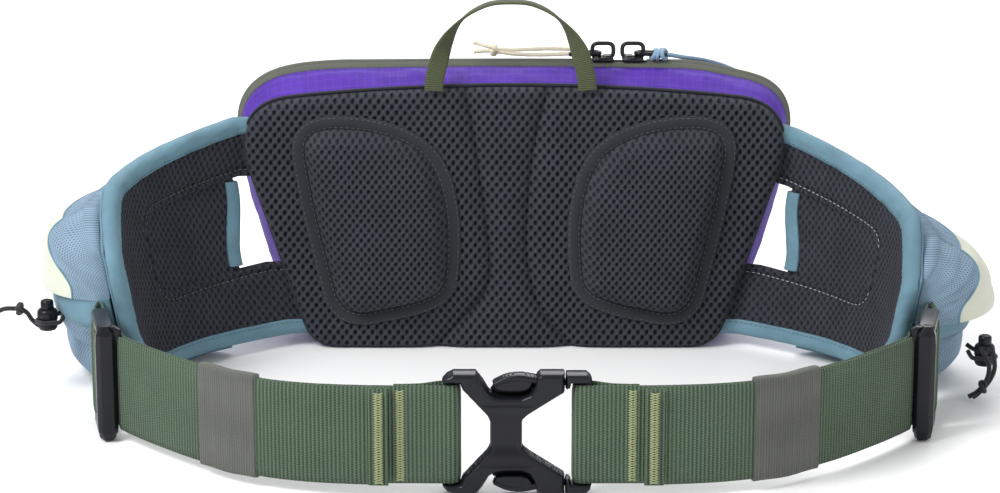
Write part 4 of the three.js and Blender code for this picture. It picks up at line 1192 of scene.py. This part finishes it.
def pocket_point(side, a, z, out):
    u = mix(0.24, 0.96, a)
    v = np.maximum(0.18, (z - WING_LOW) / (wing_top(u) - WING_LOW))
    return wing_point(side, u * wing_end(v), z, out)


def pocket_split(v):
    """The share of a pocket's width where its cream face ends, which draws back towards the brim."""
    return POCKET_SPLIT - 0.19 * smooth(v / POCKET_BRIM) ** 2


def arch_share(u, steep=0.75):
    """Shares of a pocket's width, closer together where its sides rise steeply."""
    return mix(u, 0.5 - 0.5 * np.cos(math.pi * u), steep)


def pocket_flare(z):
    """The pocket hangs out further low down, where the wing leans in."""
    return 16 * np.clip((62 - z) / 50, 0, 1)


def pocket_wall(a, z, hem_low):
    drop = np.clip((hem_low - z) / (hem_low + 1), 0, 1)
    bulge = POCKET_BULGE * np.sqrt(1 - drop**4) + pocket_flare(z)
    return POCKET_BASE + FABRIC + (bulge - 2) * pocket_arch(a)


def stretch_pits(u_mm, z):
    return pits(u_mm, z, 2.1, 1.3, 0.5, 0.56)


def pleats(z, a, pitch, slant):
    """Gathers of stretch mesh, deepest where it is sewn to the wing."""
    fold = np.sin(TURN * (z / pitch + slant * a) + 1.3 * np.sin(z / 9))
    return fold * np.clip(np.abs(a - 0.5) * 2 - 0.25, 0, 1)


def wing_pocket(name, side):
    low = HEM_LOW[name]
    high = low + 18
    body = f"wing_{name}"

    def lower(u, v, w):
        a, z = arch_share(u), mix(3.0, low, v)
        gather = 0.5 * np.sin(TURN * u * 17) * smooth((v - 0.45) / 0.5) + 0.7 * pleats(z, a, 13, 3)
        out = pocket_wall(a, z, low) + (gather - 0.35 * stretch_pits(u * 150, z)) * pocket_arch(a)
        return pocket_point(side, a, z, out - w * FABRIC)

    slab(f"{name}_lower_mesh", lower, 330, 84, (150, 37), "pocket_mesh", body,
         lambda u, v: stretch_pits(u * 150, mix(3.0, low, v)), [f"{name}_pocket_lower"])

    def floor(u, v, w):
        a = arch_share(u)
        out = mix(POCKET_BASE, pocket_wall(a, 3.0 + 0 * a, low) - 0.2, v)
        return pocket_point(side, a, 3.0 + FABRIC * (1 - w) + 0 * a, out)

    slab(f"{name}_pocket_floor", floor, 60, 6, (150, 20), "wing_fabric", body)

    def hem(u, v, w):
        a, z = arch_share(u), mix(low + 0.2, high, v)
        swell = 0.9 * np.sin(math.pi * v) ** 0.5
        gather = 0.45 * np.sin(TURN * (u * 15 + 0.12 * np.sin(5 * v))) * (0.4 + 0.6 * np.abs(2 * v - 1))
        out = pocket_wall(a, z, low) + 0.4 + (swell + gather) * pocket_arch(a) - w * 1.2
        return pocket_point(side, a, z, out)

    slab(f"{name}_hem_band", hem, 300, 26, (150, 18), "wing_fabric", body, replaces=[f"{name}_pocket_hem"])
    a = arch_share(np.linspace(0.03, 0.97, 260))
    for part, z in (("low", low + 2.2), ("high", high - 1.4)):
        at = pocket_point(side, a, z + 0 * a, pocket_wall(a, z, low) + 0.9)
        out = pocket_point(side, a, z + 0 * a, pocket_wall(a, z, low) + 4) - at
        stitches(f"{name}_hem_{part}_seam", at, unit(out), "blue_thread", body, (2.0, 1.2, 0.45, 0.3))

    def upper(a, v, w, extra):
        """The pocket above its hem: its outer face at w 0, and the wing behind it at w 1."""
        top = wing_top(0.93 * mix(0.24, 0.96, a)) - 12
        z = mix(high + 5 - 7 * (1 - v) * (1 - w), top, v)
        crown = np.sqrt(np.clip(1 - (0.97 * smooth((v - 0.28) / 0.72)) ** 2, 0, 1))
        sag = POCKET_SAG[name] * smooth((100 - z) / 48)
        swell = (POCKET_BULGE + 1 + pocket_flare(z) + sag) * crown + extra
        return pocket_point(side, a, z, POCKET_BASE + (1 - w) * (1 + swell * pocket_arch(a)))

    def folds(u, v, z):
        wave = np.sin(TURN * (z / 9.5 + 1.1 * u) + 0.5 * np.sin(z / 9))
        return 1.5 * wave * np.sin(math.pi * np.clip(u, 0, 1)) ** 0.7 * smooth((1 - v) / 0.2)

    def cream(u, v, w):
        soft = 1.1 * wobble(u * 90, v * 60, 33, 2) + 0.5 * wobble(u * 90, v * 60, 11, 4)
        rise = POCKET_BRIM * v
        return upper(pocket_split(rise) * arch_share(u), rise, w, soft * np.sin(math.pi * v))

    slab(f"{name}_cream_face", cream, 120, 80, (90, 50), "cream_fabric", body,
         replaces=[f"{name}_pocket_upper"])

    def gusset_pits(u, v):
        wide = mix(*GUSSET_WIDE, smooth(v / POCKET_BRIM) ** 2)
        return stretch_pits((1 - u) * wide, mix(high, 105.0, v))

    def gusset(u, v, w):
        a = mix(pocket_split(v), 1, 1 - (1 - u) ** 1.8)
        return upper(a, v, w, 0.5 + folds(u, v, mix(high, 105.0, v)) - 0.3 * gusset_pits(u, v))

    slab(f"{name}_gusset_mesh", gusset, 240, 200, (GUSSET_WIDE[1], 60), "pocket_mesh", body, gusset_pits,
         [f"{name}_pocket_upper"])

    def brim(u, v, w):
        rise = mix(POCKET_BRIM, 1, v)
        gather = 0.9 * np.sin(TURN * u * 9 + 2 * v) * np.sin(math.pi * v)
        share = pocket_split(POCKET_BRIM) * arch_share(u)
        return upper(share, rise, w, 0.5 + gather - 0.3 * stretch_pits(u * 120, v * 34))

    slab(f"{name}_brim_mesh", brim, 240, 70, (120, 34), "pocket_mesh", body,
         lambda u, v: stretch_pits(u * 120, v * 34), [f"{name}_pocket_upper"])
    go = np.linspace(0, 1, 60)
    across = upper(pocket_split(POCKET_BRIM) * arch_share(go), POCKET_BRIM + 0 * go, 0.0, 0.4)
    down = upper(pocket_split(POCKET_BRIM * (1 - go)), POCKET_BRIM * (1 - go), 0.0, 0.4)
    tube(f"{name}_cream_piping", np.concatenate([across, down[1:]]), 0.7, "wing_fabric", body, 8)


# ------------------------------------------------------------------ webbing
def plan_strip(name, side, plan, low, height, slot, body, thick=BELT_THICK, pitch=RIB_PITCH, replaces=(),
               warp=None):
    """Webbing on edge along a plan line, ribbed across; warp(u, v) shifts a point out and up."""
    path = Line(plan)

    def place(u, v, w):
        t = path.tangent(u, 0.004)
        edge = np.sqrt(1 - np.abs(2 * v - 1) ** 10)
        rib = 0.24 * np.sin(TURN * u * path.length / pitch) * np.sin(math.pi * np.clip(v, 0.02, 0.98)) ** 0.2
        off = (w - 0.5) * (thick * (0.4 + 0.6 * edge) + rib)
        shift, rise = warp(u, v) if warp else (0 * u, 0 * u)
        at = path.point(u) + np.c_[t[:, 1], -t[:, 0]] * (off + shift)[:, None]
        return stack(side * at[:, 0], at[:, 1], low + v * height + rise)

    steps = int(path.length / pitch * 6)
    return slab(name, place, steps, 14, (path.length, height), slot, body, replaces=replaces)


LOCK_ALONG = unit(np.array([-0.21, -0.978]))
BELT_LINE = Line(Line(spline([
    (202.2, -217.5), (195.5, -226.5), (181, -243.5), (157, -268), (129, -289.5), (104, -299.5), (76, -304),
    (50, -305),
])).point(np.linspace(0, 1, 60)))


def lock_point(distance, out):
    return LOCK_BAR + LOCK_ALONG * distance + np.array([-LOCK_ALONG[1], LOCK_ALONG[0]]) * out


def belt_offset(distance):
    t = BELT_LINE.tangent(np.linspace(0, 1, 60), 0.01)
    return BELT_LINE.points + np.c_[-t[:, 1], t[:, 0]] * distance


def belt(name, side):
    body = f"strap_{name}"
    low = BELT_Z - BELT_HEIGHT / 2
    turn = -math.pi / 2 - math.pi * np.arange(13) / 12
    r = 3.2 + 0.3 + BELT_THICK / 2
    around = np.c_[32.3 + r * np.cos(turn), BUCKLE_Y + r * np.sin(turn)]
    main = np.concatenate([
        [lock_point(16, -5), lock_point(24.6, -8.9)], BELT_LINE.points, around,
        [(38, -297.4), (46, -301.4), (54, -302.4), (60, -302.4)],
    ])

    def sag(u, v):
        """The strap is not quite flat: its edges wander a little."""
        out = 0.5 * wobble(u * 300, v * 30, 120, 1) * np.sin(math.pi * np.clip(u * 1.6, 0, 1))
        return out, 0.5 * wobble(u * 300, 0 * v, 150, 2)

    plan_strip(f"{name}_main_strap", side, main, low, BELT_HEIGHT, "belt_webbing", body, warp=sag,
               replaces=[f"{name}_strap"])
    outer = belt_offset(BELT_THICK + 0.4)
    tail = np.concatenate([[lock_point(22, -4.8), lock_point(24.6, -6.5)], outer[outer[:, 0] > 60.5]])
    plan_strip(f"{name}_free_tail", side, tail, low, BELT_HEIGHT, "belt_webbing", body,
               replaces=[f"{name}_strap_tail"])
    hem = belt_offset(2 * BELT_THICK + 0.5)
    hem = hem[(hem[:, 0] > 60) & (hem[:, 0] < 73)]
    plan_strip(f"{name}_tail_hem", side, hem, low + 0.2, BELT_HEIGHT - 0.4,
               "belt_webbing", body, 1.3)
    for part, x, away in (("tail", 67.2, 3 * BELT_THICK + 0.3), ("fold", 56.8, BELT_THICK / 2)):
        zigzag(f"{name}_{part}_zigzag", side, x, away, low, body)
    keeper(name, side)


def zigzag(name, side, x, away, low, body):
    """Two passes of zigzag thread across the webbing."""
    parts = []
    height = BELT_HEIGHT - 3
    y = float(np.interp(x, BELT_LINE.points[::-1, 0], BELT_LINE.points[::-1, 1])) - away
    for sweep in range(2):
        for i in range(int(height / 1.25)):
            z0 = low + 1.5 + i * 1.25
            left, right = x - 2.3, x + 2.3
            a = (side * (left if i % 2 == sweep else right), y, z0)
            b = (side * (right if i % 2 == sweep else left), y, z0 + 1.25)
            parts.append(stitch(np.array(a), np.array(b), np.array([0.0, -1, 0]), 0.6, 0.45))
    many(name, parts, "zigzag_thread", body)


def keeper(name, side):
    """The elastic loop round both layers of the strap."""
    start, end = ((126, 156) if side < 0 else (116, 148))
    middle = belt_offset(BELT_THICK / 2 + 0.2)
    path = Line(middle[(middle[:, 0] > start - 2) & (middle[:, 0] < end + 2)])
    half_thick, half_high, corner = 3.1, 26.6, 2.4
    section = Line(bezier_path(
        (-half_thick, -half_high + corner), [(-half_thick, half_high - corner)],
        [(-half_thick, half_high), (-half_thick + corner, half_high)], [(half_thick - corner, half_high)],
        [(half_thick, half_high), (half_thick, half_high - corner)], [(half_thick, -half_high + corner)],
        [(half_thick, -half_high), (half_thick - corner, -half_high)], [(-half_thick + corner, -half_high)],
        [(-half_thick, -half_high), (-half_thick, -half_high + corner)], steps=5,
    ))
    around = 150
    profile = section.point(np.arange(around) / around)
    count = 60
    u = np.linspace(0.03, 0.97, count)
    t, at = path.tangent(u, 0.02), path.point(u)
    pinch = 1 - 0.06 * np.abs(2 * u - 1) ** 4
    rib = 0.09 * np.sin(TURN * np.arange(around) / around * section.length / 1.5)
    off = profile[None, :, 0] * (pinch[:, None] + rib[None])
    off = off + 0.12 * np.sin(TURN * u * path.length / 0.9)[:, None]
    xy = at[:, None] + np.stack([-t[:, 1], t[:, 0]], -1)[:, None] * off[..., None]
    z = BELT_Z + profile[None, :, 1] * (1 + 0 * u[:, None]) + 0.25 * np.sin(u * 9)[:, None]
    rings = np.stack([side * xy[..., 0], xy[..., 1], z], -1)
    round_it = np.arange(around) / around * section.length
    uv = np.c_[np.repeat(u * path.length, around), np.tile(round_it, count)]
    piece = section_sweep(f"{name}_elastic_keeper", rings, "keeper_elastic", f"keeper_{name}", uv)
    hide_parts(f"{name}_keeper")


def anchor(name, side):
    """Webbing sewn to the wing and wrapped round the ladder-lock's anchor bar."""
    bx, by = LOCK_BAR
    r = 3 + 0.3 + BELT_THICK / 2
    turn = -math.pi * np.arange(13) / 12
    around = np.c_[bx + r * np.cos(turn), by + r * np.sin(turn)]
    plan = np.concatenate([
        [(223.4, -151), (223.6, -160), (222.8, -169), (bx + r + 0.2, by + 10)], around,
        [(bx - r + 0.6, by + 8), (215.8, -171), (219.4, -161), (221, -151)],
    ])
    plan_strip(f"{name}_anchor_strap", side, plan, 6.5, 49.5, "belt_webbing", f"wing_{name}",
               replaces=[f"{name}_anchor_webbing"])


# ------------------------------------------------------------------ moulded parts
def loft_part(levels):
    """Points and faces of a solid through stacked outlines: (z, [(x, y), ...]) with equal counts."""
    points = np.array([(x, y, z) for z, ring in levels for x, y in ring], float)
    return points, skin_faces(len(levels), len(levels[0][1]))


def lock_ring(distance, half_long, half_wide, cut, shift=0.0):
    """A bevelled rectangle in plan, on a ladder-lock's own axes."""
    corners = [(-half_long, -half_wide + cut), (-half_long + cut, -half_wide), (half_long - cut, -half_wide),
               (half_long, -half_wide + cut), (half_long, half_wide - cut), (half_long - cut, half_wide),
               (-half_long + cut, half_wide), (-half_long, half_wide - cut)]
    return [tuple(lock_point(distance + a, b + shift)) for a, b in corners]


def ladder_lock(name, side):
    top, front = LOCK_HEIGHT, 2 * LOCK_PITCH
    front_bar = (
        (0.4, 2.4, 2.6, 0.8, 0.0), (5.2, 4.9, 5.0, 1.9, 0.0), (9.0, 4.9, 5.3, 2.3, 0.0),
        (top - 10, 4.9, 5.3, 2.3, 0.0), (top - 5, 4.9, 5.0, 1.9, 0.0), (top - 0.4, 2.6, 2.4, 0.8, 0.8),
    )
    thumb_tab = (
        (top - 9, 2.6, 1.4, 0.6, -4.6), (top - 4.5, 3.2, 2.4, 0.9, -6.0), (top - 2.4, 3.2, 2.4, 0.9, -5.6),
        (top - 0.8, 2.4, 1.6, 0.5, -3.4),
    )
    parts = [loft_part([(z, lock_ring(front, *ring)) for z, *ring in levels])
             for levels in (front_bar, thumb_tab)]
    for distance in (0, LOCK_PITCH):
        parts.append(loft_part([(z, lock_ring(distance, 3.0, 3.0, 1.5)) for z in (3, top - 3)]))
    for low, high in ((0.5, 6.2), (top - 6.2, top - 0.5)):
        ends = lock_ring(LOCK_PITCH - 1.5, 17.2, 3.6, 1.6), lock_ring(LOCK_PITCH - 1.5, 18.0, 4.3, 2.0)
        parts.append(loft_part([(low, ends[0]), (low + 1, ends[1]), (high - 1, ends[1]), (high, ends[0])]))
    at, turn = lock_point(front, 5.1), math.atan2(LOCK_ALONG[1], LOCK_ALONG[0]) + math.pi / 2
    for share in (0.18, 0.5, 0.82):
        parts.append(box_part((*at, 10 + share * 44), (0.5, 5.0, 12.5), turn, 0.15))
    parts = [(points * [side, 1, 1], faces) for points, faces in parts]
    piece = many(f"{name}_ladder_frame", parts, "plastic", f"strap_{name}", replaces=[f"{name}_ladder_lock"])
    soften(piece, 0.5)


def soften(piece, width):
    """Rounds a moulded piece's edges."""
    bevel = piece.modifiers.new("bevel", "BEVEL")
    bevel.width = width * MM
    bevel.segments = 3
    bevel.limit_method = "ANGLE"
    bevel.angle_limit = math.radians(25)
    bevel.harden_normals = False


def cord_lock(name, at):
    """A round cord lock with its sprung plunger, and the hem's cord looped over it."""
    x, y, z = at
    profile = [(0, 0), (3.2, 0), (4.5, 0.5), (5.2, 1.6), (5.5, 3), (5.6, 4.4), (5.2, 4.8), (5.2, 5.6),
               (5.6, 6),
               (5.6, 9.8), (5.3, 11), (4.7, 11.8), (4, 12), (3.9, 4.5), (0, 4.5)]
    many(f"{name}_lock_barrel", [lathe_part(profile, at, 32)], "plastic", f"wing_{name}",
         replaces=[f"{name}_cord_lock_barrel"])
    cap = [(0, 9), (3.4, 9), (3.6, 9.3), (3.6, 15.6), (3.3, 16.5), (2.4, 17), (1, 16.8), (0, 16.7)]
    many(f"{name}_lock_button", [lathe_part(cap, at, 32)], "plastic", f"plunger_{name}",
         replaces=[f"{name}_cord_lock_plunger"])
    side = SIDES[name]
    loop = [(x - side * 9, y + 1, z + 8), (x - side * 7, y - 2, z + 5), (x - side * 4, y - 4.8, z + 5.2),
            (x + side * 2, y - 6, z + 5.4), (x + side * 6, y - 1, z + 5.2), (x + side * 3, y + 5.4, z + 5.6),
            (x - side * 4, y + 5.6, z + 7), (x - side * 9, y + 6, z + 10)]
    line = Line(spline(loop)).point(np.linspace(0, 1, 60))
    tube(f"{name}_lock_loop", line, 1.2, "black_cord", f"wing_{name}", 12, braided)


# ------------------------------------------------------------------ buckle
def mirrored_loop(upper):
    """A closed outline from its upper half, given as x and height above the buckle's middle."""
    top = [(x, BUCKLE_Z + o) for x, o in upper]
    return np.array(top + [(x, BUCKLE_Z - o) for x, o in upper[::-1] if o > 0])


def dense(loop, step=0.5):
    path = Line(np.concatenate([loop, loop[:1]]))
    return path.point(np.arange(int(path.length / step)) / int(path.length / step))


def rounded_plate(name, loops, thick, radius, slot, body, replaces=(), extra=None, shift=0.0, step=0.42):
    """A moulded plate with rounded edges, standing in the buckle's plane or shift mm behind it."""
    def half(flat, inside):
        share = np.clip(inside / radius, 0, 1)
        body_half = thick / 2 * (1 - (1 - share) ** 2.6) ** (1 / 2.6)
        return body_half + (extra(flat, inside) if extra else 0)

    def place(flat, height):
        return stack(flat[:, 0], BUCKLE_Y + shift - height, flat[:, 1])

    return relief(name, loops, step, place, half, lambda flat, inside: -half(flat, inside), slot, body,
                  replaces=replaces)


BUTTON_FACE = [(-11.6, 24.0), (-8.4, 26.4), (-3, 28), (2, 28.4), (8.4, 27.4), (7.6, 24.4), (5.6, 22.2),
               (1.8, 21.4),
               (-6, 21.4), (-9.6, 22.2)]
RECESS_WEB = [(-12.8, 21.4), (-10.4, 19.2), (-6.4, 18.4), (2.5, 18.4), (6.9, 20.1), (9.2, 24.5),
              (9.6, 27.6), (4, 27.6),
              (-4, 26.8), (-11.4, 23.6)]


def buckle():
    body = mirrored_loop([
        (-12.9, 0), (-12.9, 5.9), (-14.6, 9.4), (-26.6, 22.6), (-27.6, 25.4), (-30.5, 25.6), (-36.0, 25.6),
        (-36.4, 27.0),
        (-34.4, 29.4), (-31, 31.2), (-19.8, 31.2), (-16.4, 27), (-13.2, 21.6), (-10.6, 19.8), (-6.5, 19),
        (2.4, 19),
        (6.4, 20.6), (8.6, 24.6), (9.6, 29.4), (11.4, 31.2), (23.6, 31.2), (23.6, 21.2), (6, 9.8),
        (3.4, 7.4), (2.9, 5.6),
    ])

    def shaping(flat, inside):
        """A hollowed waist, and raised shoulders that run out to the four corners."""
        x, o = flat[:, 0], np.abs(flat[:, 1] - BUCKLE_Z)
        hollow = -1.5 * np.exp(-(((o) / 9.0) ** 4)) * smooth(inside / 3)
        step = -0.5 * np.exp(-((o - 15.5) / 0.8) ** 2) * np.exp(-(((x + 5) / 13) ** 4)) * smooth(inside / 2)
        return hollow + step

    rounded_plate("buckle_body", [dense(body)], 13, 2.6, "plastic", "socket", ["buckle_socket"], shaping)
    many("buckle_socket_bar", [bar_tube(-32.3)], "plastic", "socket")
    for sign, level in ((1, "upper"), (-1, "lower")):
        lug = np.array([(x, BUCKLE_Z + sign * o) for x, o in (
            (23.9, 22.4), (23.9, 30.6), (34.2, 30.6), (36.6, 28.4), (37.1, 25.6), (26.6, 25.6),
            (26.6, 23.4))])
        rounded_plate(f"buckle_lug_{level}", [dense(lug)], 11.6, 1.6, "plastic", "plug", ["buckle_plug"])
        line = Line(spline([(24.2, 25.6), (17, 25.8), (10, 27), (2, 28.3), (-5, 27.6), (-11.4, 24.8)]))
        share = np.linspace(0, 1, 40)
        t = line.tangent(share, 0.01)
        wide = mix(1.4, 1.9, np.sin(math.pi * share))[:, None]
        normal = np.c_[-t[:, 1], t[:, 0]]
        middle, reach = line.point(share), normal * wide
        outline = np.concatenate([middle + reach, (middle - reach)[::-1]])
        outline = np.c_[outline[:, 0], BUCKLE_Z + sign * outline[:, 1]]
        rounded_plate(f"buckle_button_{level}", [dense(outline)], 8.4, 1.3, "plastic", f"prong_{level}",
                      [f"buckle_prong_{level}"])
        inlays = ("face", f"prong_{level}", -2.4, BUTTON_FACE), ("web", "socket", 3.2, RECESS_WEB)
        for part, rider, shift, shape in inlays:
            shape = np.array([(x, BUCKLE_Z + sign * o) for x, o in shape])
            rounded_plate(f"buckle_{part}_{level}", [dense(shape)], 3.2, 1.4, "plastic", rider, shift=shift)
    many("buckle_plug_bar", [bar_tube(32.3)], "plastic", "plug")


def bar_tube(x):
    line = np.array([(x, BUCKLE_Y, BUCKLE_Z + o) for o in np.linspace(-27, 27, 12)])
    return tube_points(line, 3.2, 24)[0], skin_faces(len(line), 24)


# ------------------------------------------------------------------ the scene
studio()
cream_cord()
blue_cord()
shock_cords()
back_panel()
for side_name, side_sign in SIDES.items():
    back_pad(side_name, side_sign)
bag_walls()
front_face()
main_zip()
slider("left", 50.5, -1)
slider("right", 67.5, 1)
haul_handle()
for side_name, side_sign in SIDES.items():
    wing(side_name, side_sign)
    wing_pocket(side_name, side_sign)
    belt(side_name, side_sign)
    anchor(side_name, side_sign)
    ladder_lock(side_name, side_sign)
cord_lock("left", (-253.5, -133, 35))
cord_lock("right", (254.5, -140, 17))
buckle()
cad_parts["frame_sheet"].data.materials.clear()
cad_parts["frame_sheet"].data.materials.append(MATERIALS["frame_plastic"])
